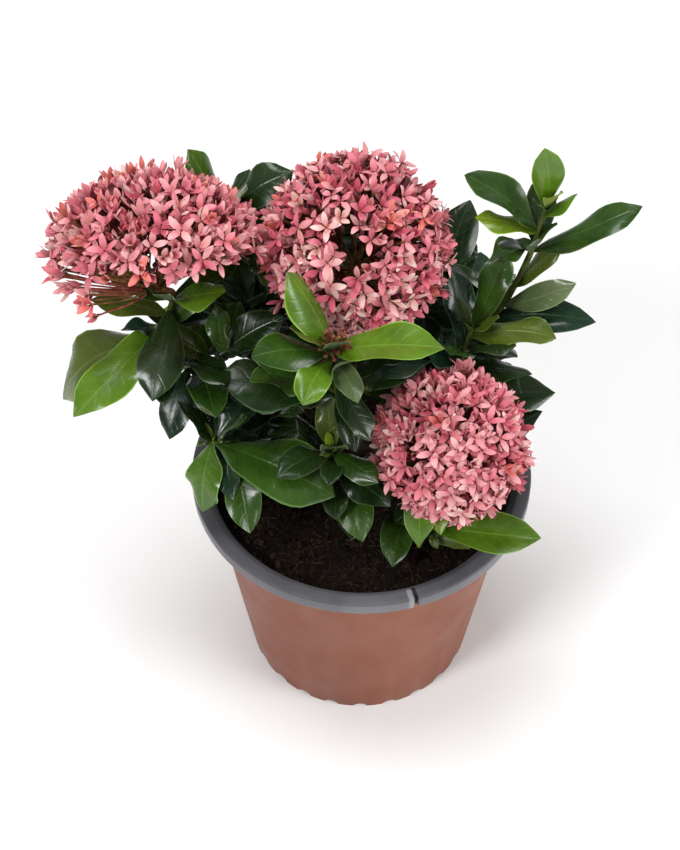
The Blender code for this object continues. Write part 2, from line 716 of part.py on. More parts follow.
def make_soil(collection, material):
    """The filling: a plug just clear of the pot, with a slightly uneven top."""
    low, high = FLOOR + GAP, SOIL_TOP
    facet_gap = GAP / math.cos(math.pi / ROUND_STEPS) + 0.05 * MM
    edge = inner_radius(high) - facet_gap
    rings = [edge * share for share in (0.82, 0.6, 0.4)]
    profile = [(0, high)] + [(radius, high) for radius in [STEM_PATCH] + rings[::-1] + [edge]]
    profile += [(inner_radius(low) - facet_gap, low), (0, low)]
    soil = turned("soil", profile, collection, material)
    for vert in soil.data.vertices:
        out = math.hypot(vert.co.x, vert.co.y)
        if STEM_PATCH * 1.1 < out < edge * 0.99 and vert.co.z > high - MM:
            swell = noise.noise(vert.co * 60) + 0.5 * noise.noise(vert.co * 150)
            vert.co.z += SOIL_BUMP * swell
    soil.data.materials.clear()
    soil.data.materials.append(material)
    return soil


def make_tube(name, path, radii, collection, material):
    """A tapering round limb along a path, as a mesh with welded caps."""
    curve = bpy.data.curves.new(name, "CURVE")
    curve.dimensions = "3D"
    curve.bevel_depth = max(radii)
    curve.bevel_resolution = 1
    curve.use_fill_caps = True
    spline = curve.splines.new("POLY")
    spline.points.add(len(path) - 1)
    for place, point, radius in zip(spline.points, path, radii):
        place.co = (*point, 1.0)
        place.radius = radius / max(radii)
    tube = apply_modifiers(add_object(name, curve, collection), collection)
    tube.data.materials.clear()
    tube.data.materials.append(material)
    return tube


def stem_path_and_radii(extra=0.0):
    """The main stem from its flared flat foot on the soil to its fork."""
    low, high = mm(STEM_FOOT), mm(STEM_HEAD)
    low.z = SOIL_TOP + GAP - extra
    heel = low + Vector((0, 0, STEM_RADIUS * 0.6))
    flares = (STEM_FLARE, 1.15, 1.0, 0.88, STEM_TIP_RADIUS / STEM_RADIUS)
    path = [low] + [heel.lerp(high, share) for share in (0.0, 0.25, 0.6, 1.0)]
    if extra:
        path.append(high + (high - low).normalized() * extra)
        flares += (flares[-1],)
    return path, [STEM_RADIUS * flare + extra for flare in flares]


def make_limbs(boughs, collection, cutters, material):
    """The short stem and the boughs, each cut 0.3 mm clear of it."""
    make_tube("stem", *stem_path_and_radii(), collection, material)
    clearance = make_tube("stem_clearance", *stem_path_and_radii(GAP), cutters, material)
    for name, path in boughs.items():
        radii = spread(BOUGH_RADIUS, SHOOT_RADIUS, len(path))
        bough = make_tube("bough_" + name, path, radii, collection, material)
        if SHOOTS[name].bough:
            cut(bough, clearance)


def make_masses(masses, collection, material):
    """Each mass of foliage: its shoot, side twigs and leaves, fused."""
    for name, (twigs, leaves) in masses.items():
        main = shoot_path(SHOOTS[name])
        skins = [tube_skin(main, spread(SHOOT_RADIUS, TWIG_TIP_RADIUS, len(main)), 3)]
        for path in twigs:
            skins.append(tube_skin(path, spread(TWIG_RADIUS, TWIG_TIP_RADIUS, len(path)), 3))
        skins += [leaf_skin(leaf) for leaf in leaves]
        fuse("foliage_" + name, skins, collection, material)


def make_blooms(blooms, collection, material):
    """Each flower head: stalk, core, tubes and stars, fused."""
    for name, skins in blooms.items():
        stalk = tube_skin(stalk_path(name), STALK_RADII, 5)
        fuse("bloom_" + name, [core_skin(BLOOMS[name]), stalk] + skins, collection, material)


def main():
    """Build the pot, the soil, the limbs, the foliage and the blooms."""
    plant, cutters = start_scene()
    materials = make_materials()
    boughs, masses, blooms = grow_plant()
    make_pot(plant, cutters, materials["pot"])
    make_soil(plant, materials["soil"])
    make_limbs(boughs, plant, cutters, materials["wood"])
    make_masses(masses, plant, materials["foliage"])
    make_blooms(blooms, plant, materials["bloom"])


if __name__ == "__main__":
    main()
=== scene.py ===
"""Potted ixora: its looks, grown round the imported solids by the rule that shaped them.

Metres, +Z up. The origin is the centre of the pot's flat underside and the plant's front
is towards -Y. Headings are degrees about +Z: 0 is the front, 90 the right (+X).
"""
import math
import random
from collections import namedtuple

import bmesh
import bpy
from mathutils import Matrix, Quaternion, Vector, noise
from mathutils.bvhtree import BVHTree
from mathutils.kdtree import KDTree


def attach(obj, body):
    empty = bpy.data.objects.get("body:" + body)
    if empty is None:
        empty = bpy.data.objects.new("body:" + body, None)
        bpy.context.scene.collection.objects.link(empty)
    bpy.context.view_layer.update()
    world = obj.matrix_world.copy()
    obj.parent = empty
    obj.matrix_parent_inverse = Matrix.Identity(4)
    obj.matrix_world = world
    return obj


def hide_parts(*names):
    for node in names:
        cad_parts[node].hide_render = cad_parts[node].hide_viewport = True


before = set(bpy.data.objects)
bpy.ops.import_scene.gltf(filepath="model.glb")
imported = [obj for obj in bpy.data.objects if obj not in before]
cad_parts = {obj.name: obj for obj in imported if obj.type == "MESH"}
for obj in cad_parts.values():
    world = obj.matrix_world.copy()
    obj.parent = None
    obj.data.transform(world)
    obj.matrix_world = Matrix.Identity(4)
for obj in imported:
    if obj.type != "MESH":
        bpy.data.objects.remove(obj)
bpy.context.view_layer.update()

MM = 0.001
GAP = 0.3 * MM
SEED = 11

# ---- pot and soil, as the solids have them ----
POT_HEIGHT = 130 * MM
RIM_RADIUS = 85 * MM
LIP_WIDTH = 6 * MM
RIM_DROP = 7 * MM
RIM_SKIN = 1.4 * MM
NECK_RADIUS = 76.3 * MM
BASE_RADIUS = 60 * MM
WALL = 1.8 * MM
FLOOR = 2.5 * MM
FOOT_NOTCHES = 24
NOTCH_HEIGHT = 2.2 * MM
NOTCH_DEPTH = 3 * MM
DRAIN_HOLES = 6
DRAIN_RADIUS = 4 * MM
DRAIN_CIRCLE = 36 * MM
SOIL_TOP = 117 * MM

# ---- wood ----
STEM_FOOT = (0, 6, 117)
STEM_HEAD = (-2, 9, 152)
STEM_RADIUS = 6 * MM
STEM_FLARE = 1.5
BOUGH_RADIUS = 2.7 * MM
BOUGH_RISE = 0.35
SHOOT_RADIUS = 1.9 * MM
TWIG_LENGTH = 24 * MM
TWIG_RISE = 40
TWIG_RADIUS = 1.4 * MM
TWIG_TIP_RADIUS = 1.2 * MM
TWIG_ROOM = 1.4
TWIG_SPAN = (0.3, 0.75)

# ---- leaves ----
LEAF_WIDTH = 0.44
LEAF_HALF_THICK = 0.55 * MM
PETIOLE_HALF_WIDTH = 0.6 * MM
KEEL = 0.16
BLADE_STATIONS = ((0.42, 1.0), (0.74, 0.80))
LEAF_CLEARANCE = 0.7 * MM
LEAF_ABOVE_SOIL = 4 * MM
LEAF_INSIDE_RIM = 12 * MM
LEAF_OVER_RIM = 2 * MM
LEAF_PROBES = (0.35, 0.7, 1.0)
OWN_START = 0.5
OTHERS_START = 0.04
LEAF_TRIES = 5
SWING = 8
SHRINK = 0.05
RULE_LEAF = 46
TWIG_LEAF = 41
TIP_PAIR = 0.62
PAIR_SPAN = (0.94, 0.25)

# ---- blooms ----
GOLDEN_ANGLE = math.radians(137.508)
PETALS = 4
PETAL_REACH = 8.8 * MM
PETAL_NOTCH = 3.4 * MM
PETAL_HALF_THICK = 0.5 * MM
CORE_SHARE = 0.6
CORE_LIFT = 0.75
CORE_LEVELS = (-0.5, 0.1, 0.65)
CORE_SIDES = 8
BLOOM_MARGIN = 1.5 * MM
STALK_NECK = 3 * MM
STALK_GAP = 0.45 * MM
STALK_RADII = [1.3 * MM, 1.5 * MM, 1.9 * MM]
FAN_LEAN = 0.6
FAN_WIDTH = 0.8

# A shoot runs foot -> knee -> head (mm) from the tip of its bough, which leaves the stem at
# `bough` (mm up, 0 for the stem's top). Its foremost leaves are aimed one by one, `pairs` more
# pairs follow by quarter turns, and `twigs` side twigs follow by the golden angle.
Shoot = namedtuple("Shoot", "bough foot knee head pairs twigs aims", defaults=[()])

# A leaf's aim: station along the shoot, heading and rise of its chord, length in mm, and how
# far it arches and rolls. `wide` scales its width, and `mate` is the length of the leaf
# opposite, if that one shows.
Aim = namedtuple("Aim", "station heading rise length arch roll wide mate", defaults=[0, 1, 0])

SHOOTS = {
    "left": Shoot(137, (-62, -2, 188), (-98, -4, 212), (-86, 4, 245), pairs=1, twigs=1, aims=(
        Aim(0.97, 70, 28, 31, 10, wide=1.2, mate=34), Aim(0.78, -44, -16, 62, 30, wide=0.75, mate=44),
        Aim(0.58, -80, -27, 69, 100, wide=1.1), Aim(0.90, -9, -24, 46, 50),
        Aim(0.95, -16, 52, 32, 10), Aim(0.85, -94, 11, 36, 10), Aim(0.35, -18, -37, 36, 30, mate=44),
        Aim(0.10, 37, 30, 50, 20), Aim(0.25, 25, 20, 40, 30))),
    "low_left": Shoot(126, (-46, -14, 146), (-62, -24, 164), (-70, -29, 184), pairs=2, twigs=1, aims=(
        Aim(0.98, -24, -66, 39, 20, wide=1.05), Aim(0.90, 60, 0, 65, 40, wide=1.1),
        Aim(0.70, 10, -39, 24, 20), Aim(0.50, 16, -25, 40, 30), Aim(0.40, 110, 20, 38, 20),
        Aim(0.85, 170, 15, 34, 20))),
    "front": Shoot(145, (-11, -20, 196), (-12, -27, 222), (-15, -31, 247), pairs=2, twigs=1, aims=(
        Aim(1.00, -116, 62, 43, 10, wide=1.15), Aim(0.97, 77, 15, 52, 25, wide=1.1),
        Aim(0.93, -64, 22, 41, 25),
        Aim(0.86, -22, 6, 34, 40), Aim(0.75, -100, 10, 36, 20), Aim(0.50, -75, 30, 46, 10),
        Aim(0.60, 33, -32, 34, 30), Aim(0.80, 26, -5, 26, 60), Aim(0.30, 18, -26, 30, 40),
        Aim(0.25, -84, 17, 58, 30))),
    "low_front": Shoot(130, (-7, -20, 146), (-13, -34, 166), (-15, -40, 190), pairs=2, twigs=1, aims=(
        Aim(0.95, 46, 5, 30, 30), Aim(0.90, -50, 14, 34, 50), Aim(0.80, -8, 4, 28, 60),
        Aim(0.60, 42, 6, 38, 30), Aim(0.40, 16, -8, 41, 40), Aim(0.55, -60, -5, 40, 30))),
    "low_right": Shoot(133, (20, -10, 146), (28, -20, 160), (36, -26, 168), pairs=1, twigs=1, aims=(
        Aim(0.70, 8, -18, 40, 30, wide=0.7), Aim(0.90, 110, 12, 56, 10))),
    "low_front_right": Shoot(122, (22, -22, 133), (26, -38, 138), (32, -50, 141), pairs=0, twigs=0, aims=(
        Aim(0.80, 78, 5, 56, 10, wide=0.85), Aim(0.20, -15, -6, 38, 50))),
    "middle": Shoot(0, (-2, 13, 176), (-2, 20, 200), (-2, 26, 226), pairs=3, twigs=2),
    "upper_right": Shoot(147, (54, 24, 196), (75, 24, 232), (80, 22, 281), pairs=0, twigs=0, aims=(
        Aim(1.00, -65, 83, 36, 10, roll=-105, wide=0.9), Aim(0.72, 86, 33, 55, 10, wide=0.7),
        Aim(0.86, -96, 40, 46, 20, wide=1.1), Aim(0.85, -80, 24, 33, 10, wide=0.8),
        Aim(0.76, 174, 65, 32, 0),
        Aim(0.95, 70, 52, 22, 10), Aim(1.00, 30, 60, 18, 10), Aim(0.78, -80, -20, 22, 30, wide=1.5),
        Aim(0.45, 92, 50, 32, 25, wide=0.9), Aim(0.30, 68, 39, 44, 40, roll=60, wide=0.65),
        Aim(0.18, 74, 14, 54, 75, roll=25, wide=0.75), Aim(0.70, 43, 64, 30, 20))),
    "right": Shoot(140, (34, 2, 176), (46, 4, 192), (50, 9, 218), pairs=0, twigs=1, aims=(
        Aim(1.00, 143, 70, 48, 0, wide=0.8), Aim(1.00, -59, 73, 26, 0), Aim(1.00, 53, 62, 22, 0),
        Aim(0.92, 77, 12, 43, 60), Aim(0.80, 53, 34, 32, 20), Aim(0.55, 67, 16, 38, 25),
        Aim(0.25, 89, -3, 53, 15), Aim(0.80, -155, 62, 39, 10), Aim(0.60, -65, 46, 46, 20))),
    "back_left": Shoot(144, (-38, 34, 186), (-58, 46, 216), (-68, 56, 253), pairs=3, twigs=1, aims=(
        Aim(0.90, -117, 66, 40, 5), Aim(0.90, 147, 62, 34, 10), Aim(0.85, 110, 36, 38, 20))),
    "back": Shoot(131, (-6, 42, 176), (-12, 60, 198), (-12, 68, 226), pairs=6, twigs=3),
    "back_right": Shoot(138, (30, 42, 166), (42, 56, 180), (42, 62, 204), pairs=6, twigs=3),
    "low_back_left": Shoot(124, (-34, 34, 142), (-56, 46, 158), (-62, 52, 184), pairs=4, twigs=2),
    "low_back_right": Shoot(126, (30, 34, 142), (46, 50, 154), (54, 56, 170), pairs=5, twigs=3),
}

# A bloom's florets lie on a dome about `centre` (mm) whose pole is at `heading`, `rise`. They
# fan out from a point `depth` below the centre, on a stalk that stands on the shoot of the
# same name. `gap` is an open place on the dome: heading, rise and half angle.
Bloom = namedtuple("Bloom", "centre heading rise across height depth cap gap", defaults=[None])
BLOOMS = {
    "left": Bloom((-92, 12, 271), -178, 63, across=47, height=31, depth=22, cap=98),
    "middle": Bloom((-4, 22, 259), -10, 70, across=43, height=42, depth=22, cap=110, gap=(0, 39, 15)),
    "low_right": Bloom((40, -36, 189), -2, 60, across=36, height=35, depth=20, cap=104),
}


# ---- the rule of growth, as in the part's source ----
def mm(point):
    """A point given in millimetres, in metres."""
    return Vector(point) * MM


def bezier(points, t):
    """A point on the Bezier curve with these control points."""
    points = list(points)
    while len(points) > 1:
        points = [a.lerp(b, t) for a, b in zip(points, points[1:])]
    return points[0]


def smooth_path(controls, count):
    """Points along the Bezier curve of some control points."""
    return [bezier(controls, i / (count - 1)) for i in range(count)]


def heading_vector(heading, rise):
    """Unit vector at a heading and a rise above level, in degrees."""
    turn, lift = math.radians(heading), math.radians(rise)
    flat = math.cos(lift)
    return Vector((flat * math.sin(turn), -flat * math.cos(turn), math.sin(lift)))


def side_frame(axis):
    """Two unit vectors square to `axis` and to each other."""
    first = axis.orthogonal().normalized()
    return first, axis.cross(first).normalized()


def turned(first, second, angle):
    """The direction at an angle (radians) from `first` towards `second`."""
    return math.cos(angle) * first + math.sin(angle) * second


def spread(first, last, count):
    """Evenly spaced numbers from first to last."""
    return [first + (last - first) * i / max(count - 1, 1) for i in range(count)]


# ---- skins: a list of rings of points, bridged and closed ----
TUBE_SEAM = Vector((0.31, -0.87, 0.38))


def loft(rings):
    """Vertices and faces of a skin over rings of equal size, closed by a cap or a point."""
    points, faces, rows = [], [], []
    for ring in rings:
        rows.append(range(len(points), len(points) + len(ring)))
        points.extend(ring)
    for low, high in zip(rows, rows[1:]):
        around = max(len(low), len(high))
        for i in range(around):
            j = (i + 1) % around
            corners = [low[i % len(low)], low[j % len(low)], high[j % len(high)], high[i % len(high)]]
            faces.append(tuple(dict.fromkeys(corners)))
    for row, turn in ((rows[0], -1), (rows[-1], 1)):
        if len(row) > 2:
            faces.append(tuple(row)[::turn])
    return points, faces


def tube_skin(path, radii, sides):
    """A tapering tube of flat sides along a path."""
    rings = []
    for i, (point, radius) in enumerate(zip(path, radii)):
        before, after = path[max(i - 1, 0)], path[min(i + 1, len(path) - 1)]
        axis = (after - before).normalized()
        across = axis.cross(TUBE_SEAM).normalized()
        upward = axis.cross(across)
        rings.append([point + radius * turned(across, upward, math.tau * k / sides) for k in range(sides)])
    return loft(rings)


# ---- leaves ----
Leaf = namedtuple("Leaf", "root along face length width arch")


def make_leaf(root, aim):
    """The leaf of an aim: its chord points where the aim says and its tip arches down."""
    start = aim.rise + aim.arch / 2
    turn = Quaternion(heading_vector(aim.heading, aim.rise), math.radians(aim.roll))
    along = turn @ heading_vector(aim.heading, start)
    face = turn @ heading_vector(aim.heading, start + 90)
    length = aim.length * MM
    return Leaf(root, along, face, length, length * LEAF_WIDTH * aim.wide, math.radians(aim.arch))


def leaf_frame(leaf, t):
    """Centre line point, direction and upper face normal of a leaf at t, from root to tip."""
    bend = leaf.arch * t
    if abs(leaf.arch) < 1e-6:
        point = leaf.root + leaf.along * leaf.length * t
    else:
        run = leaf.length / leaf.arch
        point = leaf.root + run * (math.sin(bend) * leaf.along - (1 - math.cos(bend)) * leaf.face)
    return point, turned(leaf.along, leaf.face, -bend), turned(leaf.face, leaf.along, bend)


def leaf_skin(leaf, start=0.0, margin=0.0):
    """A keeled blade that tapers from a sunk root to its tip, with room to spare on request."""
    across = leaf.along.cross(leaf.face)
    rings = []
    for t, share in ((start, None),) + BLADE_STATIONS:
        point, along, face = leaf_frame(leaf, t)
        half = PETIOLE_HALF_WIDTH + start * leaf.width if share is None else share * leaf.width / 2
        half += margin
        lift = KEEL * half if share else 0.0
        thick = LEAF_HALF_THICK * (1.0 if share else 0.8) + margin
        rings.append([point - half * across + lift * face, point - thick * face,
                      point + half * across + lift * face, point + thick * face])
    tip, along, face = leaf_frame(leaf, 1.0)
    rings.append([tip + margin * along])
    return loft(rings)


# ---- growth: every twig and leaf, in a fixed order, each kept only where it is clear ----
class Thicket:
    """What has grown so far, as one search tree a piece, with the name of its owner."""

    def __init__(self):
        self.pieces = []

    def add(self, owner, skin):
        self.pieces.append((owner, *skin_box(skin), BVHTree.FromPolygons(*skin)))

    def touches(self, owner, skin, own=False):
        """Whether a skin meets a piece that is the owner's own, or not its own."""
        low, high = skin_box(skin)
        tree = BVHTree.FromPolygons(*skin)
        for name, other_low, other_high, other in self.pieces:
            if (name == owner) != own:
                continue
            apart = any(high[k] < other_low[k] or other_high[k] < low[k] for k in range(3))
            if not apart and tree.overlap(other):
                return True
        return False


def skin_box(skin):
    """Lowest and highest coordinates of a skin."""
    columns = list(zip(*skin[0]))
    return [min(c) for c in columns], [max(c) for c in columns]


def bloom_frame(bloom):
    """Centre and pole of a bloom's dome, and the point that its tubes fan out from."""
    centre = mm(bloom.centre)
    pole = heading_vector(bloom.heading, bloom.rise)
    return centre, pole, centre - pole * bloom.depth * MM


def in_gap(bloom, offset, share=1.0):
    """Whether an offset from a bloom's centre points through a share of its open place."""
    if not bloom.gap:
        return False
    heading, rise, half_angle = bloom.gap
    return heading_vector(heading, rise).angle(offset) < math.radians(half_angle * share)


def in_bloom(bloom, point):
    """Whether a point lies in a bloom's dome or in the fan of tubes under it."""
    centre, pole, _ = bloom_frame(bloom)
    offset = point - centre
    if in_gap(bloom, offset):
        return False
    up = offset.dot(pole)
    out = (offset - up * pole).length
    across, height = bloom.across * MM + BLOOM_MARGIN, bloom.height * MM + BLOOM_MARGIN
    low = height * math.cos(math.radians(bloom.cap))
    if up > low:
        return (out / across) ** 2 + (up / height) ** 2 < 1
    return out < across * FAN_WIDTH * (1 + (up - low) / (bloom.depth * MM))


def in_any_bloom(point):
    """Whether a point lies in one of the blooms."""
    return any(in_bloom(bloom, point) for bloom in BLOOMS.values())


def leaf_is_clear(owner, leaf, thicket):
    """Whether a leaf stays out of the pot, the blooms and all that has grown so far."""
    for t in LEAF_PROBES:
        point = leaf_frame(leaf, t)[0]
        if point.z < SOIL_TOP + LEAF_ABOVE_SOIL:
            return False
        out = math.hypot(point.x, point.y)
        if point.z < POT_HEIGHT + LEAF_OVER_RIM and out > RIM_RADIUS - LEAF_INSIDE_RIM:
            return False
        if in_any_bloom(point):
            return False
    if thicket.touches(owner, leaf_skin(leaf, OWN_START), own=True):
        return False
    return not thicket.touches(owner, leaf_skin(leaf, OTHERS_START, LEAF_CLEARANCE))


def grow_leaf(owner, root, aim, chance, thicket):
    """The first clear leaf near an aim, or None."""
    for attempt in range(LEAF_TRIES):
        swing = SWING * attempt
        leaf = make_leaf(root, aim._replace(heading=aim.heading + chance.uniform(-swing, swing),
                                            rise=aim.rise + chance.uniform(-swing, swing),
                                            length=aim.length * (1 - SHRINK * attempt)))
        if leaf_is_clear(owner, leaf, thicket):
            thicket.add(owner, leaf_skin(leaf))
            return leaf
    return None


def shoot_controls(shoot):
    """Foot, knee and head of a shoot, in metres."""
    return [mm(shoot.foot), mm(shoot.knee), mm(shoot.head)]


def shoot_path(shoot, steps=5):
    """Points along a shoot from its foot to its head."""
    return smooth_path(shoot_controls(shoot), steps)


def bough_path(shoot, steps=6):
    """Points along the bough of a shoot, from inside the stem to 0.3 mm below the foot."""
    foot = mm(shoot.foot)
    lead = (mm(shoot.knee) - foot).normalized()
    low, high = mm(STEM_FOOT), mm(STEM_HEAD)
    end = foot - lead * GAP
    if shoot.bough:
        root = low.lerp(high, (shoot.bough * MM - low.z) / (high.z - low.z))
        rising = Vector((end.x - root.x, end.y - root.y, 0)).normalized() + Vector((0, 0, BOUGH_RISE))
    else:
        rising = high - low
        root = high + rising.normalized() * GAP
    third = (end - root).length / 3
    return smooth_path([root, root + rising.normalized() * third, end - lead * third, end], steps)


def quarter_turn_aims(count, turn, size):
    """Aims of opposite pairs down a twig, each pair a quarter turn on from the last."""
    aims = []
    for i, station in enumerate(spread(*PAIR_SPAN, count)):
        length = size * (TIP_PAIR if i == 0 else 1.0)
        for mate in (0, 180):
            heading = turn + 90 * i + mate
            aims.append(Aim(station, heading, 62 * station - 4, length, 40 - 25 * station))
    return aims


def grow_twigs(name, shoot, chance, thicket):
    """Side twigs of a shoot, by the golden angle, each as its path of three points."""
    controls = shoot_controls(shoot)
    turn = chance.uniform(0, 360)
    twigs = []
    for i, station in enumerate(spread(*TWIG_SPAN, shoot.twigs)):
        root = bezier(controls, station)
        lean = heading_vector(turn + math.degrees(GOLDEN_ANGLE) * i, TWIG_RISE) * TWIG_LENGTH
        path = [root, root + lean / 2, root + lean]
        whole = tube_skin(path, [TWIG_RADIUS * TWIG_ROOM] * 3, 4)
        outer = tube_skin([root + lean / 5, path[2]], [TWIG_RADIUS * TWIG_ROOM] * 2, 4)
        blocked = thicket.touches(name, whole) or thicket.touches(name, outer, own=True)
        if not blocked and not any(in_any_bloom(point) for point in path[1:]):
            twigs.append(path)
    return twigs


def grow_mass(name, thicket):
    """Twigs and leaves of one mass: the leaves of its listed aims first, then those by rule."""
    shoot = SHOOTS[name]
    chance = random.Random(f"{SEED} {name}")
    controls = shoot_controls(shoot)
    hand = [grow_leaf(name, bezier(controls, aim.station), aim, chance, thicket) for aim in shoot.aims]
    leaves = []
    for aim in shoot.aims:
        if aim.mate:
            mate = aim._replace(heading=aim.heading + 180, rise=abs(aim.rise) / 2, length=aim.mate, roll=0)
            leaves.append(grow_leaf(name, bezier(controls, aim.station), mate, chance, thicket))
    twigs = grow_twigs(name, shoot, chance, thicket)
    for path in twigs:
        thicket.add(name, tube_skin(path, spread(TWIG_RADIUS, TWIG_TIP_RADIUS, 3), 3))
    for aim in quarter_turn_aims(shoot.pairs, chance.uniform(0, 90), RULE_LEAF):
        leaves.append(grow_leaf(name, bezier(controls, aim.station), aim, chance, thicket))
    for path in twigs:
        for aim in quarter_turn_aims(3, chance.uniform(0, 90), TWIG_LEAF):
            leaves.append(grow_leaf(name, path[0].lerp(path[2], aim.station), aim, chance, thicket))
    return twigs, hand, leaves


def floret_places(bloom, count, chance):
    """Places and facings of florets, dealt over the dome by the golden angle."""
    centre, pole, fan = bloom_frame(bloom)
    east, north = side_frame(pole)
    low = math.cos(math.radians(bloom.cap))
    places = []
    for i in range(count):
        up = 1 - (1 - low) * (i + 0.5) / count
        out = math.sqrt(1 - up * up)
        turn = GOLDEN_ANGLE * i + chance.uniform(-0.12, 0.12)
        flat = out * turned(east, north, turn)
        reach = chance.uniform(0.93, 1.0)
        place = centre + reach * MM * (bloom.across * flat + bloom.height * up * pole)
        if in_gap(bloom, place - centre):
            continue
        outward = (flat / bloom.across + up * pole / bloom.height).normalized()
        facing = (outward + FAN_LEAN * (place - fan).normalized()).normalized()
        places.append((place, facing, fan, chance.uniform(0, math.tau)))
    return places


def floret_star(place, facing, spin):
    """A flat star of four pointed petals."""
    east, north = side_frame(facing)
    outline = []
    for i in range(PETALS * 2):
        reach = PETAL_REACH if i % 2 == 0 else PETAL_NOTCH
        outline.append(place + reach * turned(east, north, spin + math.pi * i / PETALS))
    return loft([[place - PETAL_HALF_THICK * 2 * facing], outline, [place + PETAL_HALF_THICK * facing]])


def core_skin(bloom):
    """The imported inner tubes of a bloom, as a coarse ellipsoid under the stars."""
    centre, pole, fan = bloom_frame(bloom)
    east, north = side_frame(pole)
    middle = fan.lerp(centre, CORE_LIFT)
    rings = [[fan - pole * 2 * MM]]
    for lift in CORE_LEVELS:
        out = math.sqrt(1 - lift * lift) * CORE_SHARE * bloom.across * MM
        level = middle + pole * lift * CORE_SHARE * bloom.height * MM
        turns = [math.tau * k / CORE_SIDES for k in range(CORE_SIDES)]
        rings.append([level + out * turned(east, north, turn) for turn in turns])
    rings.append([middle + pole * CORE_SHARE * bloom.height * MM])
    return loft(rings)


def stalk_path(name):
    """The stalk of a bloom: off its shoot's head, then to the point that the tubes fan from."""
    head, knee = mm(SHOOTS[name].head), mm(SHOOTS[name].knee)
    lead = (head - knee).normalized()
    return [head + lead * STALK_GAP, head + lead * STALK_NECK, bloom_frame(BLOOMS[name])[2]]


def grow_plant(thicket):
    """Each mass of the plant, once the limbs and blooms have their room."""
    for shoot in SHOOTS.values():
        path = bough_path(shoot)
        thicket.add("wood", tube_skin(path, [BOUGH_RADIUS + GAP] * len(path), 6))
    thicket.add("wood", tube_skin([mm(STEM_FOOT), mm(STEM_HEAD)], [STEM_RADIUS + GAP] * 2, 8))
    for name, shoot in SHOOTS.items():
        path = shoot_path(shoot)
        thicket.add(name, tube_skin(path, spread(SHOOT_RADIUS, TWIG_TIP_RADIUS, len(path)), 3))
    for name, bloom in BLOOMS.items():
        thicket.add("stalk", tube_skin(stalk_path(name), STALK_RADII, 4))
        thicket.add("core", core_skin(bloom))
    return {name: grow_mass(name, thicket) for name in SHOOTS}


# ---- fine shapes ----
MARK = "blade"

# The form of a blade: its outline, rows, cells and thickness, and how its rows crowd to the tip;
# then how far it folds at its midrib, crowns, ripples, twists (radians) and sways. These five are
# drawn from the spans of LEAF_FORM and PETAL_FORM, where a single number is fixed.
Cut = namedtuple("Cut", "outline rows cells thick ease fold crown wave twist sway")
LEAF_ROWS = 14
LEAF_CELLS = 8
LEAF_THICK = 0.35 * MM
LEAF_EASE = 1.2
LEAF_FORM = ((0.10, 0.45), (0.05, 0.5), (0.10, 0.38), (-0.45, 0.45), (-0.04, 0.04))
LEAF_BELLY = (1.05, 1.4)
LEAF_STALK = 0.04
LEAF_SHOULDER = 0.86
PETAL_ROWS = 5
PETAL_CELLS = 4
PETAL_THICK = 0.22 * MM
PETAL_EASE = 1.5
PETAL_FORM = ((0.05, 0.35), 0.12, (0, 0.15), (-0.3, 0.3), (-0.06, 0.06))
RIPPLE_BEATS = (6, 11)
RIPPLE_LAG = 1.3
RIPPLE_EDGE = 2.5
THIN_EDGE = 6
TIP_HALF_WIDTH = 0.12 * MM

# One letter for each aimed leaf, in order: young, bright, mid, dark, olive, teal, or under
# for a pale leaf that shows its underside.
TONES = {
    "left": "bboddotdd",
    "low_left": "bmtmdd",
    "front": "bbmbdmdudd",
    "low_front": "mdddmd",
    "low_right": "yd",
    "low_front_right": "bm",
    "upper_right": "bmmydbymoutm",
    "right": "mmoodddtt",
    "back_left": "bdd",
}
RULE_TONES = "dddddmmmtob"
TONE_COLOURS = {
    "y": ("young_leaf", (0.12, 0.20, 0.008), (0.20, 0.30, 0.018)),
    "b": ("bright_leaf", (0.045, 0.115, 0.005), (0.10, 0.20, 0.010)),
    "m": ("mid_leaf", (0.014, 0.042, 0.0035), (0.032, 0.078, 0.007)),
    "d": ("dark_leaf", (0.0055, 0.018, 0.003), (0.014, 0.036, 0.006)),
    "o": ("olive_leaf", (0.045, 0.075, 0.006), (0.085, 0.12, 0.014)),
    "t": ("teal_leaf", (0.006, 0.024, 0.010), (0.014, 0.042, 0.018)),
    "u": ("pale_leaf", (0.07, 0.11, 0.04), (0.12, 0.17, 0.07)),
}
UNDERSIDES = {
    "y": ("young_underside", (0.15, 0.23, 0.03), (0.23, 0.31, 0.06)),
    "d": ("leaf_underside", (0.05, 0.085, 0.03), (0.085, 0.13, 0.05)),
}
PETAL_TONES = {
    "peach": ((0.62, 0.25, 0.22), (0.86, 0.56, 0.52)),
    "blush": ((0.57, 0.145, 0.17), (0.80, 0.36, 0.385)),
    "pink": ((0.53, 0.085, 0.125), (0.74, 0.215, 0.26)),
    "rose": ((0.42, 0.045, 0.08), (0.65, 0.13, 0.18)),
    "coral": ((0.54, 0.07, 0.06), (0.74, 0.18, 0.15)),
    # The deep tone is painted shade: a near black red for the florets and buds inside a head, where shade
    # falls between them.
    "deep": ((0.14, 0.012, 0.02), (0.28, 0.035, 0.05)),
}


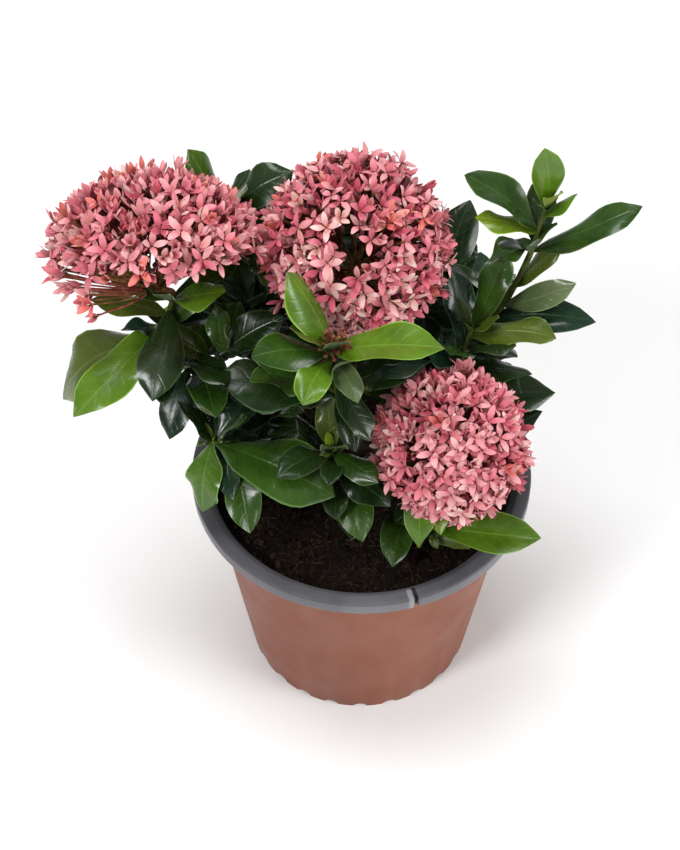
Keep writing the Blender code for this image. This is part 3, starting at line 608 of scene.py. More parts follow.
class Heap:
    """Closed shapes gathered into one mesh, each face with a material and each point a mark."""

    def __init__(self):
        self.points, self.faces, self.slots, self.marks = [], [], [], []

    def add(self, skin, slot, marks=None):
        """Add a skin; slot is one number or one for each face, marks one triple a point."""
        points, faces = skin
        start = len(self.points)
        self.points.extend(points)
        self.faces.extend(tuple(i + start for i in face) for face in faces)
        self.slots.extend(slot if isinstance(slot, list) else [slot] * len(faces))
        self.marks.extend(marks or [(0.0, 0.0, 0.0)] * len(points))

    def make(self, name, materials, sharp=50):
        """The mesh object, smooth but for edges sharper than `sharp` degrees."""
        mesh = bpy.data.meshes.new(name)
        mesh.from_pydata(self.points, [], self.faces)
        for material in materials:
            mesh.materials.append(material)
        mesh.polygons.foreach_set("material_index", self.slots)
        layer = mesh.attributes.new(MARK, "FLOAT_VECTOR", "POINT")
        layer.data.foreach_set("vector", [value for mark in self.marks for value in mark])
        shape = bmesh.new()
        shape.from_mesh(mesh)
        bmesh.ops.recalc_face_normals(shape, faces=shape.faces)
        shape.to_mesh(mesh)
        shape.free()
        mesh.shade_smooth()
        mesh.set_sharp_from_angle(angle=math.radians(sharp))
        return put(name, mesh)


def put(name, data):
    """A new object of this data, in the scene."""
    obj = bpy.data.objects.new(name, data)
    bpy.context.scene.collection.objects.link(obj)
    return obj


def drawn(mood, spans):
    """One value for each span, drawn from it unless it is a single number."""
    return [mood.uniform(*span) if isinstance(span, tuple) else span for span in spans]


def blade(leaf, cut, mood):
    """A thin closed blade: rings of an upper and a lower face, with a mark (u, t, chance)."""
    sideways = leaf.along.cross(leaf.face)
    phase, beat, luck = mood.uniform(0, math.tau), mood.uniform(*RIPPLE_BEATS), mood.random()
    rings, marks = [], []
    for row in range(cut.rows + 1):
        t = 1 - (1 - row / cut.rows) ** cut.ease
        point, along, face = leaf_frame(leaf, t)
        turn = Quaternion(along, cut.twist * t)
        across, face = turn @ sideways, turn @ face
        point = point + sideways * cut.sway * leaf.length * math.sin(math.pi * t)
        half = max(cut.outline(t) * leaf.width / 2, TIP_HALF_WIDTH)
        ring = []
        for side in (1, -1):
            for k in range(cut.cells):
                u = side * (2 * k / cut.cells - 1)
                ripple = cut.wave * math.sin(phase + beat * t + RIPPLE_LAG * (u > 0)) * abs(u) ** RIPPLE_EDGE
                lift = half * (cut.fold * abs(u) - cut.crown * u * u + ripple)
                skin = side * cut.thick / 2 * (1 - u ** THIN_EDGE)
                ring.append(point + half * u * across + (lift + skin) * face)
                marks.append((u, t, luck))
        rings.append(ring)
    points, faces = loft(rings)
    split = []
    for i, (a, b, c, d) in enumerate(faces[:-2]):
        upper = i % (2 * cut.cells) < cut.cells
        split += [(a, b, c), (a, c, d)] if upper else [(a, b, d), (b, c, d)]
    return (points, split + faces[-2:]), marks


def leaf_outline(t, belly):
    """Share of full half width along an ixora leaf: widest past its middle, with a blunt point."""
    s = max(t - LEAF_STALK, 0) / (1 - LEAF_STALK)
    point = 1 - 0.4 * max((s - LEAF_SHOULDER) / (1 - LEAF_SHOULDER), 0) ** 0.8
    return point * max(math.sin(math.pi * s ** belly), 0) ** 0.64 + 0.06 * (1 - t)


def petal_outline(t):
    """Share of full half width along a petal, narrow at the throat and blunt at the end."""
    return 0.26 * (1 - t) + 0.96 * max(math.sin(math.pi * t ** 0.95), 0) ** 0.55


def add_leaf(heap, leaf, tone, tones, mood):
    """One fine leaf with its upper and lower materials."""
    belly = mood.uniform(*LEAF_BELLY)
    cut = Cut(lambda t: leaf_outline(t, belly), LEAF_ROWS, LEAF_CELLS, LEAF_THICK, LEAF_EASE,
              *drawn(mood, LEAF_FORM))
    skin, marks = blade(leaf, cut, mood)
    upper = tones.index(tone)
    under = len(tones) + (0 if tone == "y" else 1)
    ring = LEAF_CELLS * 2
    slots = [upper if i // 2 % ring < LEAF_CELLS else under for i in range(LEAF_ROWS * ring * 2)]
    slots += [upper] * (len(skin[1]) - len(slots))
    heap.add(skin, slots, marks)


def limb(path, radii, sides, relief, grain):
    """A tube with the bark's relief worked into its radius, which runs between two or more radii."""
    radii = radii if len(radii) == len(path) else spread(*radii, len(path))
    points, faces = tube_skin(path, radii, sides)
    rough = []
    for i, point in enumerate(points):
        centre = path[min(i // sides, len(path) - 1)]
        swell = noise.noise(point * grain) * relief
        rough.append(point + (point - centre) * swell)
    return rough, faces


# ---- growth between the solids' leaves ----
FILL_TWIGS = 5
FILL_STATIONS = (0.05, 0.9)
FILL_TWIG_RISE = (10, 60)
FILL_TWIG_SHARE = (0.5, 0.9)
FILL_PAIRS = 5
FILL_PAIR_SPAN = (0.95, 0.05)
FILL_TURN = 40
FILL_LIFT = 10
FILL_REACH = 13 * MM
BOUGH_STEPS = 12
BARE_STEPS = 7
CROWN_PROBES = (0.3, 0.5, 0.7, 0.85)

# Spans of a fill leaf's swing from its quarter turn, and of its rise, length, arch, roll and width.
FILL_LEAF = ((-20, 20), (-25, 55), (22, 42), (15, 60), (-25, 25), (0.95, 1.2))


def grow_fill(name, thicket, crown):
    """Shorter twigs and leaves by the same rule, in the room that the mass has left."""
    shoot = SHOOTS[name]
    chance = random.Random(f"{SEED} fill {name}")
    controls = shoot_controls(shoot)
    turn = chance.uniform(0, 360)
    twigs, leaves = [], []
    for i in range(FILL_TWIGS):
        station, rise, share = drawn(chance, (FILL_STATIONS, FILL_TWIG_RISE, FILL_TWIG_SHARE))
        root = bezier(controls, station)
        lean = heading_vector(turn + math.degrees(GOLDEN_ANGLE) * i, rise) * share * TWIG_LENGTH
        path = [root, root + lean / 2, root + lean]
        outer = tube_skin([root + lean / 4, path[2]], [TWIG_RADIUS] * 2, 4)
        if thicket.touches(name, outer) or thicket.touches(name, outer, own=True) or in_any_bloom(path[2]):
            continue
        twigs.append(path)
        thicket.add(name, tube_skin(path, spread(TWIG_RADIUS, TWIG_TIP_RADIUS, 3), 3))
    roots = [(bezier(controls, station), 0) for station in spread(*FILL_PAIR_SPAN, FILL_PAIRS)]
    roots += [(path[0].lerp(path[2], station), FILL_LIFT) for path in twigs for station in (1.0, 0.55)]
    roots += [(point, FILL_LIFT) for point in bough_path(shoot, BOUGH_STEPS)[BARE_STEPS:]]
    for i, (root, lift) in enumerate(roots):
        for mate in (0, 90, 180, 270) * 2:
            swing, rise, *form = drawn(chance, FILL_LEAF)
            leaf = make_leaf(root, Aim(0, turn + FILL_TURN * i + mate + swing, rise + lift, *form))
            near = all(crown.find(leaf_frame(leaf, t)[0])[2] < FILL_REACH for t in (0.6, 1.0))
            if near and leaf_is_clear(name, leaf, thicket):
                thicket.add(name, leaf_skin(leaf))
                leaves.append(leaf)
    return twigs, leaves


def crown_points(masses):
    """Points down every leaf of the masses, as a search tree."""
    points = [leaf_frame(leaf, t)[0] for _, hand, ruled in masses.values() for leaf in hand + ruled if leaf
              for t in CROWN_PROBES]
    crown = KDTree(len(points))
    for i, point in enumerate(points):
        crown.insert(point, i)
    crown.balance()
    return crown


# ---- fine blooms ----
PETAL_LENGTH = 7.0 * MM
PETAL_WIDTH = 2.85 * MM
PETAL_SINK = 0.4
THROAT_RADIUS = 0.55 * MM
TUBE_RADII = [0.42 * MM, 0.42 * MM, 0.45 * MM, 0.55 * MM, 0.8 * MM]
TUBE_TONES = (0, 0, 1)
STYLE_TONE = 2
BUD_TONE = 3
STYLE_LENGTH = 1.2 * MM
STYLE_RADII = [0.3 * MM, 0.14 * MM]
FLORET_SIZES = (0.85, 1.1)
BUD_LENGTHS = (4.0, 7.0)
BUD_GIRTHS = (1.0, 1.7)

# How far the petals of an open, a half open and a shut floret rise, in degrees, from where on
# they arch inwards, how far they arch, and how unevenly they stand round the throat.
LIFTS = ((0, 12, 22), (32, 42, 52), (62, 70, 78))
ARCHED_IN = 50
OPEN_ARCH = (0, 35)
SHUT_ARCH = (0, 25)
UNEVEN_TURN = 0.15
UNEVEN_RISE = 10

# For each head: florets, weights of open, half open and shut ones, weights of the petal tones but
# the deepest, and how much the palest gains on the side that is bared to the light (the other
# tones' gains follow, and then that side's heading and rise).
BLOOM_LOOKS = {
    "left": (330, (1, 5, 7), (1, 4, 6, 3, 2), 0),
    "middle": (350, (3, 6, 4), (1, 3, 6, 6, 1), 6),
    "low_right": (310, (2, 6, 4), (1, 4, 7, 4, 1), 1),
}
BARED_GAINS = (1.5, 0, -0.5, 0)
OPEN_SIDE = (0, 5)

# Branchlets carry the tubes: their number, and how far from the fan's foot they and the tubes go.
BRANCHLETS = 18
BRANCHLET_SHARE = (0.3, 0.42)
TUBE_START = 0.36

# The layers under a head's face: share of its size, florets or buds, and their tones; the deep tone among
# them is painted shade between the florets.
UNDER_LAYER = (0.88, 90, ("pink", "rose", "deep"))
UNDER_LIFTS = (50, 66)
BUD_LAYERS = ((0.80, 170, ("rose", "deep")), (0.64, 170, ("deep", "deep")))

# An open place is cut a little smaller than in the solids, and its edge is ragged.
GAP_SHARE = 0.95
RAGGED = 1.1
RAGGED_GRAIN = 4.5

# Florets that hang out of the side of the left head, and the young head on the front shoot.
SKIRT = {"left": 34}
SKIRT_HEADINGS = (-125, -30)
SKIRT_RISES = (-15, 2)
SKIRT_REACH = (0.9, 1.05)
SKIRT_LIFTS = (45, 60, 72)
YOUNG_HEAD = "front"
YOUNG_BUDS = 44
YOUNG_LEAN = Vector((0.35, 0, 0))


def any_way(mood, tilt):
    """A direction at any heading, drawn within a tilt from level."""
    return heading_vector(mood.uniform(0, 360), mood.uniform(-tilt, tilt))


def nearest(nodes, point):
    """The node that lies nearest to a point."""
    return min(nodes, key=lambda node: (node - point).length)


def petal(base, radial, facing, lift, arch, size, heap, slot, mood):
    """One petal that leaves the throat at `lift` degrees and bends back by `arch`."""
    rise = math.radians(lift)
    leaf = Leaf(base, turned(radial, facing, rise), turned(facing, radial, -rise),
                PETAL_LENGTH * size, PETAL_WIDTH * size, math.radians(arch))
    cut = Cut(petal_outline, PETAL_ROWS, PETAL_CELLS, PETAL_THICK, PETAL_EASE, *drawn(mood, PETAL_FORM))
    skin, marks = blade(leaf, cut, mood)
    heap.add(skin, slot, marks)


def floret(place, facing, start, lift, heaps, slot, mood):
    """Four petals on a thin curved tube, with a short style in the throat."""
    petals, tubes = heaps
    east, north = side_frame(facing)
    size, spin = drawn(mood, (FLORET_SIZES, (0, math.tau)))
    place = place - facing * PETAL_LENGTH * size * PETAL_SINK * math.sin(math.radians(lift))
    for k in range(PETALS):
        turn = spin + math.tau * k / PETALS + mood.uniform(-UNEVEN_TURN, UNEVEN_TURN)
        radial = turned(east, north, turn)
        arch = mood.uniform(*OPEN_ARCH) if lift < ARCHED_IN else -mood.uniform(*SHUT_ARCH)
        rise = lift + mood.uniform(-UNEVEN_RISE, UNEVEN_RISE)
        petal(place + radial * THROAT_RADIUS, radial, facing, rise, arch, size, petals, slot, mood)
    middle = start.lerp(place, 0.5) + east * mood.uniform(-1.5, 1.5) * MM
    path = smooth_path([start, middle, place - facing * 3 * MM, place], len(TUBE_RADII))
    tubes.add(tube_skin(path, TUBE_RADII, 5), mood.choice(TUBE_TONES))
    tubes.add(tube_skin([place, place + facing * STYLE_LENGTH], STYLE_RADII, 3), STYLE_TONE)


def bud(place, facing, start, heaps, slot, mood):
    """A closed floret: a pointed bud on its tube."""
    petals, tubes = heaps
    length, girth = [size * MM for size in drawn(mood, (BUD_LENGTHS, BUD_GIRTHS))]
    path = [place + facing * length * share for share in (0, 0.3, 0.65, 1.0)]
    petals.add(tube_skin(path, [0.5 * MM, girth, girth * 0.85, 0.15 * MM], 6), slot)
    tubes.add(tube_skin([start, start.lerp(place, 0.5), place], [0.4 * MM, 0.42 * MM, 0.5 * MM], 4), 1)


def in_ragged_gap(name, offset):
    """Whether an offset from a head's centre points through its open place, whose edge is ragged."""
    ragged = 1 + RAGGED * noise.noise(offset.normalized() * RAGGED_GRAIN)
    return in_gap(BLOOMS[name], offset, GAP_SHARE * ragged)


def grow_branchlets(dome, tubes, mood):
    """Short branchlets up from the fan's foot, and their ends, where the tubes start."""
    fan = bloom_frame(dome)[2]
    nodes = [fan.lerp(place, mood.uniform(*BRANCHLET_SHARE))
             for place, _, _, _ in floret_places(dome, BRANCHLETS, mood)]
    for node in nodes:
        middle = fan.lerp(node, 0.5) + heading_vector(mood.uniform(0, 360), 0) * MM
        tubes.add(tube_skin(smooth_path([fan, middle, node], 4), spread(0.9 * MM, 0.6 * MM, 4), 5), 0)
    return nodes


def grow_face(name, dome, nodes, thicket, heaps, mood):
    """The florets of a head's face: uneven, some astray, more of them open and pale in front."""
    count, openness, weights, palest_gain = BLOOM_LOOKS[name]
    gains = (palest_gain, *BARED_GAINS)
    centre, _, fan = bloom_frame(dome)
    for place, facing, _, _ in floret_places(dome, count, mood):
        stray = mood.choices((0.0, -0.07), (8, 1))[0]
        sink = mood.uniform(0.0, 0.09) + 0.07 * max(noise.noise(place * 70), 0) + stray
        place = place.lerp(centre, sink) + any_way(mood, 60) * mood.uniform(0, 1.8) * MM
        blocked = thicket.touches("core", floret_star(place, facing, 0))
        if blocked or in_ragged_gap(name, place - centre):
            continue
        bared = max(facing.dot(heading_vector(*OPEN_SIDE)), 0) ** 2
        shares = (openness[0] * (0.4 + 4 * bared), openness[1], openness[2] * (1 - 0.7 * bared))
        lift = mood.choice(mood.choices(LIFTS, shares)[0])
        faded = [weight * (1 + gain * bared) for weight, gain in zip(weights, gains)]
        tone = mood.choices(range(len(faded)), faded)[0]
        facing = (facing + any_way(mood, 80) * 0.35).normalized()
        floret(place, facing, nearest(nodes, fan.lerp(place, TUBE_START)), lift, heaps, tone, mood)


def grow_skirt(name, dome, thicket, heaps, mood):
    """Florets that hang out of a head's side on tubes that sag."""
    _, _, weights, _ = BLOOM_LOOKS[name]
    centre, _, fan = bloom_frame(dome)
    for _ in range(SKIRT.get(name, 0)):
        out = heading_vector(*drawn(mood, (SKIRT_HEADINGS, SKIRT_RISES)))
        place = centre + out * dome.across * mood.uniform(*SKIRT_REACH) * MM
        facing = (out + Vector((0, 0, 0.5))).normalized()
        if thicket.touches("core", floret_star(place, facing, 0)):
            continue
        sag = fan.lerp(place, 0.5) - Vector((0, 0, mood.uniform(1, 5) * MM))
        path = smooth_path([fan.lerp(place, 0.2), sag, place - facing * 8 * MM, place], 8)
        heaps[1].add(tube_skin(path, [0.45 * MM] * 8, 5), mood.choice(TUBE_TONES))
        floret(place, facing, place - facing * 4 * MM, mood.choice(SKIRT_LIFTS), heaps,
               mood.choices(range(len(weights)), weights)[0], mood)


def layer_places(name, dome, share, count, mood):
    """Places and facings in a layer under a head's face, clear of its open place."""
    inner = dome._replace(across=dome.across * share, height=dome.height * share)
    centre = bloom_frame(dome)[0]
    return [(place, facing) for place, facing, _, _ in floret_places(inner, count, mood)
            if not in_ragged_gap(name, place - centre)]


def grow_fine_bloom(name, thicket, heaps):
    """A dense dome of florets on branchlets with buds under them, kept out of the leaves' way."""
    mood = random.Random(f"{SEED} petals {name}")
    tones = list(PETAL_TONES)
    dome = BLOOMS[name]._replace(gap=None)
    fan = bloom_frame(dome)[2]
    nodes = grow_branchlets(dome, heaps[1], mood)
    grow_face(name, dome, nodes, thicket, heaps, mood)
    grow_skirt(name, dome, thicket, heaps, mood)
    share, count, kinds = UNDER_LAYER
    for place, facing in layer_places(name, dome, share, count, mood):
        start = nearest(nodes, fan.lerp(place, TUBE_START))
        floret(place, facing, start, mood.choice(UNDER_LIFTS), heaps, tones.index(mood.choice(kinds)), mood)
    for share, count, kinds in BUD_LAYERS:
        for place, facing in layer_places(name, dome, share, count, mood):
            bud(place, facing, nearest(nodes, place), heaps, tones.index(mood.choice(kinds)), mood)


def grow_bud_cluster(name, heap):
    """A young head: short brownish stalks that fan from a shoot's head, each with a round bud."""
    mood = random.Random(f"{SEED} buds {name}")
    head = mm(SHOOTS[name].head)
    for _ in range(YOUNG_BUDS):
        out = (heading_vector(mood.uniform(0, 360), mood.uniform(5, 85)) + YOUNG_LEAN).normalized()
        end = head + out * mood.uniform(4, 10) * MM
        stalk = tube_skin([head, head.lerp(end, 0.6), end], [0.35 * MM, 0.3 * MM, 0.4 * MM], 4)
        heap.add(stalk, mood.choice((0, 1)))
        path = [end + out * length * MM for length in (0, 0.5, 1.2, 1.9, 2.4)]
        knob = tube_skin(path, [0.3 * MM, 0.8 * MM, 0.95 * MM, 0.6 * MM, 0.1 * MM], 7)
        heap.add(knob, mood.choice((0, BUD_TONE, BUD_TONE)))


# ---- materials: colours are linear, deep before light ----
VEINS = 8.0
VEIN_SLANT = 1.5
FADED_PETAL = (0.88, 0.56, 0.50)
SCUFF_COLOUR = (0.42, 0.42, 0.43)
# Painted shade: the near black colour laid into the nick's dent.
NICK_PAINTED_SHADE = (0.010, 0.009, 0.009)

# Name, two colours and roughness of the pot's inside, its rim's top and side, and its body. The rim's top
# grey is painted shade and its side grey is painted light: one plastic, darker on top and lighter at the
# side.
PLASTICS = (
    ("inner_plastic", (0.014, 0.014, 0.015), (0.026, 0.025, 0.026), 0.55),
    ("rim_top_painted_shade", (0.075, 0.073, 0.084), (0.11, 0.108, 0.122), 0.5),
    ("rim_side_painted_light", (0.125, 0.125, 0.137), (0.17, 0.17, 0.186), 0.5),
    ("terracotta_plastic", (0.195, 0.047, 0.016), (0.245, 0.063, 0.024), 0.46),
)

# Name, two colours, roughness, scale of the grain, and strength and depth of its relief.
SOILS = (
    ("peat", (0.004, 0.0024, 0.0018), (0.014, 0.008, 0.0055), 0.94, 420.0, 0.9, 0.8 * MM),
    ("crumb", (0.010, 0.0055, 0.003), (0.035, 0.019, 0.011), 0.94, 600.0, 0.9, 0.6 * MM),
    ("fibre", (0.03, 0.017, 0.009), (0.085, 0.050, 0.028), 0.9, 500.0, 0.4, 0.2 * MM),
)
BARKS = (
    ("bark", (0.035, 0.022, 0.013), (0.10, 0.07, 0.045), 0.8, 180.0, 0.6, 0.6 * MM),
    ("green_bark", (0.05, 0.07, 0.014), (0.11, 0.13, 0.035), 0.6, 150.0, 0.4, 0.4 * MM),
)
TUBES = (
    ("tube_olive", (0.09, 0.045, 0.012), (0.28, 0.13, 0.05), 0.6, 200.0, 0.2, 0.3 * MM),
    ("tube_rose", (0.22, 0.035, 0.03), (0.42, 0.12, 0.09), 0.6, 200.0, 0.2, 0.3 * MM),
    ("style_deep", (0.20, 0.02, 0.02), (0.36, 0.06, 0.05), 0.6, 200.0, 0.2, 0.3 * MM),
    ("young_bud", (0.12, 0.035, 0.018), (0.30, 0.11, 0.07), 0.6, 600.0, 0.2, 0.2 * MM),
)


class Nodes:
    """A short hand for building a material's node tree round its Principled shader."""

    def __init__(self, name, specular=0.5, **values):
        self.material = bpy.data.materials.new(name)
        self.material.use_nodes = True
        self.tree = self.material.node_tree
        self.shader = self.tree.nodes["Principled BSDF"]
        self.shader.inputs["Specular IOR Level"].default_value = specular
        for key, value in values.items():
            self.shader.inputs[key.replace("_", " ").title()].default_value = value

    def add(self, kind, inputs=(), **settings):
        """A node with its settings, and its inputs by name or number: values or sockets."""
        node = self.tree.nodes.new("ShaderNode" + kind)
        for key, value in settings.items():
            setattr(node, key, value)
        for key, value in dict(inputs).items():
            self.feed(node.inputs[key], value)
        return node

    def feed(self, socket, value):
        """Link or set one input."""
        if isinstance(value, bpy.types.NodeSocket):
            self.tree.links.new(value, socket)
        else:
            socket.default_value = value

    def math(self, operation, a, b=0.0):
        return self.add("Math", {0: a, 1: b}, operation=operation).outputs[0]

    def times(self, a, b):
        return self.math("MULTIPLY", a, b)

    def plus(self, a, b):
        return self.math("ADD", a, b)

    def ramp(self, value, low, high, start=0.0, end=1.0):
        """A value mapped smoothly from low..high to start..end."""
        node = self.add("MapRange", {"Value": value, "From Min": low, "From Max": high,
                                     "To Min": start, "To Max": end}, interpolation_type="SMOOTHSTEP")
        return node.outputs["Result"]

    def mix(self, share, a, b):
        """A blend of two colours."""
        node = self.add("Mix", data_type="RGBA")
        sockets = [s for s in node.inputs if s.enabled]
        for socket, value in zip(sockets, (share, a, b)):
            if not isinstance(value, bpy.types.NodeSocket) and socket.type == "RGBA":
                value = (*value, 1.0)
            self.feed(socket, value)
        return [s for s in node.outputs if s.enabled][0]

    def noise(self, scale, detail=3.0, roughness=0.55, stretch=(1, 1, 1)):
        """Noise on the object's own coordinates, scaled along its axes."""
        spot = self.add("TexCoord").outputs["Object"]
        place = self.add("VectorMath", {0: spot, 1: stretch}, operation="MULTIPLY").outputs["Vector"]
        inputs = {"Vector": place, "Scale": scale, "Detail": detail, "Roughness": roughness}
        return self.add("TexNoise", inputs).outputs["Fac"]

    def mark(self):
        """The three parts of a mesh's own mark."""
        node = self.add("Attribute", attribute_type="GEOMETRY", attribute_name=MARK)
        return self.add("SeparateXYZ", {0: node.outputs["Vector"]}).outputs

    def colour(self, value):
        self.feed(self.shader.inputs["Base Color"], value)

    def rough(self, grain, low, high):
        """Roughness from low to high with a grain."""
        self.feed(self.shader.inputs["Roughness"], self.ramp(grain, 0.3, 0.7, low, high))

    def bump(self, height, strength, distance):
        node = self.add("Bump", {"Height": height, "Strength": strength, "Distance": distance})
        self.feed(self.shader.inputs["Normal"], node.outputs["Normal"])


def paler(colour, gain, lift):
    """A colour multiplied and lifted towards white."""
    return tuple(min(1.0, channel * gain + lift) for channel in colour)


def leaf_material(name, deep, light, roughness, coat):
    """A blade with a pale midrib, faint slanting side veins, a thin pale margin that is a painted highlight,
    and a mottled face.
    """
    nodes = Nodes(name, 0.35, coat_weight=coat, coat_roughness=0.16)
    side, along, luck = nodes.mark()
    out = nodes.math("ABSOLUTE", side)
    midrib = nodes.ramp(out, 0.0, 0.07, 1.0, 0.0)
    wander = nodes.times(nodes.noise(90.0), 0.8)
    slant = nodes.math("SUBTRACT", nodes.times(along, VEINS), nodes.times(out, VEIN_SLANT))
    wave = nodes.math("SINE", nodes.times(nodes.plus(slant, wander), math.tau))
    vein = nodes.times(nodes.ramp(wave, 0.6, 1.0), nodes.ramp(out, 0.7, 1.0, 1.0, 0.0))
    mottle = nodes.plus(nodes.noise(60.0), nodes.times(luck, 0.35))
    pale = paler(light, 1.6, 0.015)
    face = nodes.mix(nodes.ramp(mottle, 0.42, 0.9), deep, light)
    face = nodes.mix(nodes.times(vein, 0.12), face, pale)
    face = nodes.mix(nodes.times(midrib, 0.55), face, pale)
    # Painted highlight: a thin pale band along the margin, where the edge would catch the light.
    nodes.colour(nodes.mix(nodes.ramp(out, 0.92, 0.985, 0.0, 0.9), face, paler(pale, 1.3, 0.02)))
    nodes.rough(nodes.noise(140.0), roughness, roughness + 0.14)
    relief = nodes.plus(nodes.times(vein, 0.3), midrib)
    nodes.bump(nodes.math("SUBTRACT", nodes.times(nodes.noise(260.0), 0.3), relief), 0.35, 0.55 * MM)
    return nodes.material


def petal_material(name, deep, light):
    """A petal that pales from its throat to its tip, with faint lengthwise streaks."""
    nodes = Nodes(name, sheen_weight=0.15)
    side, along, luck = nodes.mark()
    streak = nodes.math("SINE", nodes.times(side, 14.0))
    tip = nodes.ramp(nodes.plus(along, nodes.times(streak, 0.07)), 0.0, 0.75)
    face = nodes.mix(tip, deep, light)
    face = nodes.mix(nodes.ramp(luck, 0.6, 1.0, 0.0, 0.4), face, FADED_PETAL)
    nodes.colour(nodes.mix(nodes.ramp(luck, 0.0, 0.35, 0.45, 0.0), face, deep))
    nodes.rough(nodes.noise(500.0), 0.42, 0.62)
    nodes.bump(nodes.noise(700.0), 0.2, 0.3 * MM)
    return nodes.material


def plain_material(name, deep, light, roughness, scale, relief, distance):
    """Two colours in a noise, with relief of the same grain."""
    nodes = Nodes(name, 0.15)
    grain = nodes.noise(scale, 6.0, 0.65)
    nodes.colour(nodes.mix(nodes.ramp(grain, 0.35, 0.65), deep, light))
    nodes.rough(grain, roughness + 0.06, roughness - 0.06)
    nodes.bump(grain, relief, distance)
    return nodes.material


def plastic_material(name, deep, light, roughness):
    """Moulded plastic: faint upright flow marks, dusty scuffs, and a nick painted near black as painted shade
    in its dent, with a scuffed edge.
    """
    nodes = Nodes(name, 0.3, sheen_weight=0.06)
    bite, scuff, _ = nodes.mark()
    flow = nodes.noise(40.0, 4.0, 0.6, (1, 1, 0.12))
    face = nodes.mix(nodes.ramp(flow, 0.3, 0.7), deep, light)
    dust = nodes.ramp(nodes.noise(9.0, 5.0, 0.7), 0.5, 0.8, 0.0, 0.3)
    face = nodes.mix(dust, face, paler(light, 1.35, 0.02))
    speck = nodes.ramp(nodes.noise(420.0, 2.0, 0.5), 0.72, 0.78, 0.0, 0.5)
    face = nodes.mix(speck, face, paler(deep, 0.4, 0))
    ragged = nodes.plus(nodes.times(nodes.noise(1100.0, 4.0), 0.5), -0.25)
    face = nodes.mix(nodes.ramp(nodes.plus(scuff, ragged), 0.62, 0.8, 0.0, 0.45), face, SCUFF_COLOUR)
    # Painted shade in the nick: the dent's bite darkens the colour to near black.
    nodes.colour(nodes.mix(nodes.ramp(nodes.plus(bite, ragged), 0.35, 0.5), face, NICK_PAINTED_SHADE))
    nodes.rough(nodes.noise(30.0, 5.0, 0.6), roughness - 0.07, roughness + 0.1)
    nodes.bump(nodes.plus(flow, nodes.times(nodes.noise(900.0), 0.3)), 0.12, 0.3 * MM)
    return nodes.material


# ---- pot and soil ----
POT_STEPS = 640
NOTCH_WIDTH = 9 * MM
NICK_HEADING = 17.5
NICK_DEPTH = 2.2 * MM
NICK_WIDTH = 1.0 * MM
NICK_BAND = 4 * MM
SCUFF_OFFSET = 2.6 * MM
SCUFF_WIDTH = 2.2 * MM
EVEN_SHARE = 0.4
SOIL_RINGS = 90
SOIL_STEPS = 280
SOIL_SWELLS = ((2.0, 55), (1.3, 160), (0.9, 420), (0.6, 1100))
CRUMBS = 900
CRUMB_SIZE = 2.0 * MM
FIBRES = 1400
FIBRE_LENGTHS = (3, 12)
FIBRE_POINTS = 6
BROWN_SIDE = -40 * MM


def inner_radius(height):
    """Radius of the pot's inner wall at a height."""
    return BASE_RADIUS - WALL + (NECK_RADIUS - BASE_RADIUS) * height / (POT_HEIGHT - RIM_DROP)


def rounded(corners, steps=4):
    """A profile of (radius, height, rounding, zone) corners, each swept round."""
    profile = []
    for i, (radius, height, sweep, zone) in enumerate(corners):
        here = Vector((radius, height))
        if not sweep:
            profile.append((here, zone))
            continue
        before, after = Vector(corners[i - 1][:2]), Vector(corners[i + 1][:2])
        bend = [here + (before - here).normalized() * sweep, here, here + (after - here).normalized() * sweep]
        profile += [(point, zone) for point in smooth_path(bend, steps)]
    return profile


def foot_notch(turn):
    """Height of the notch in the pot's foot at an angle about its axis."""
    pitch = math.tau / FOOT_NOTCHES
    off = (((turn + pitch / 2) % pitch) - pitch / 2) * BASE_RADIUS
    reach = (NOTCH_WIDTH / 2) ** 2 - off * off
    return max(math.sqrt(max(reach, 0)) - NOTCH_WIDTH / 2 + NOTCH_HEIGHT, 0)


def nicked(radius, height, off):
    """A point of the rim, `off` along it from the nick, once cut, with its mark (bite, scuff, 0)."""
    bite = math.exp(-(off / NICK_WIDTH) ** 2)
    scuff = math.exp(-((off + SCUFF_OFFSET) / SCUFF_WIDTH) ** 2)
    if radius > RIM_RADIUS - NICK_BAND:
        radius -= bite * NICK_DEPTH
        height -= bite * NICK_DEPTH * (0.7 if height > POT_HEIGHT - 2 * MM else 0)
    return radius, height, (bite, scuff, 0.0)


def drill_holes(pot):
    """Cut the drain holes through the pot's floor."""
    shape = bmesh.new()
    for i in range(DRAIN_HOLES):
        place = Matrix.Rotation(math.tau * i / DRAIN_HOLES, 4, "Z") @ Matrix.Translation((DRAIN_CIRCLE, 0, 0))
        bmesh.ops.create_cone(shape, cap_ends=True, segments=28, radius1=DRAIN_RADIUS, radius2=DRAIN_RADIUS,
                              depth=FLOOR * 4, matrix=place)
    drill = bpy.data.meshes.new("drill")
    shape.to_mesh(drill)
    shape.free()
    cutter = put("drill", drill)
    change = pot.modifiers.new("drill", "BOOLEAN")
    change.operation, change.object, change.solver = "DIFFERENCE", cutter, "EXACT"
    drilled = bpy.data.meshes.new_from_object(pot.evaluated_get(bpy.context.evaluated_depsgraph_get()))
    pot.modifiers.clear()
    pot.data = drilled
    bpy.data.objects.remove(cutter, do_unlink=True)


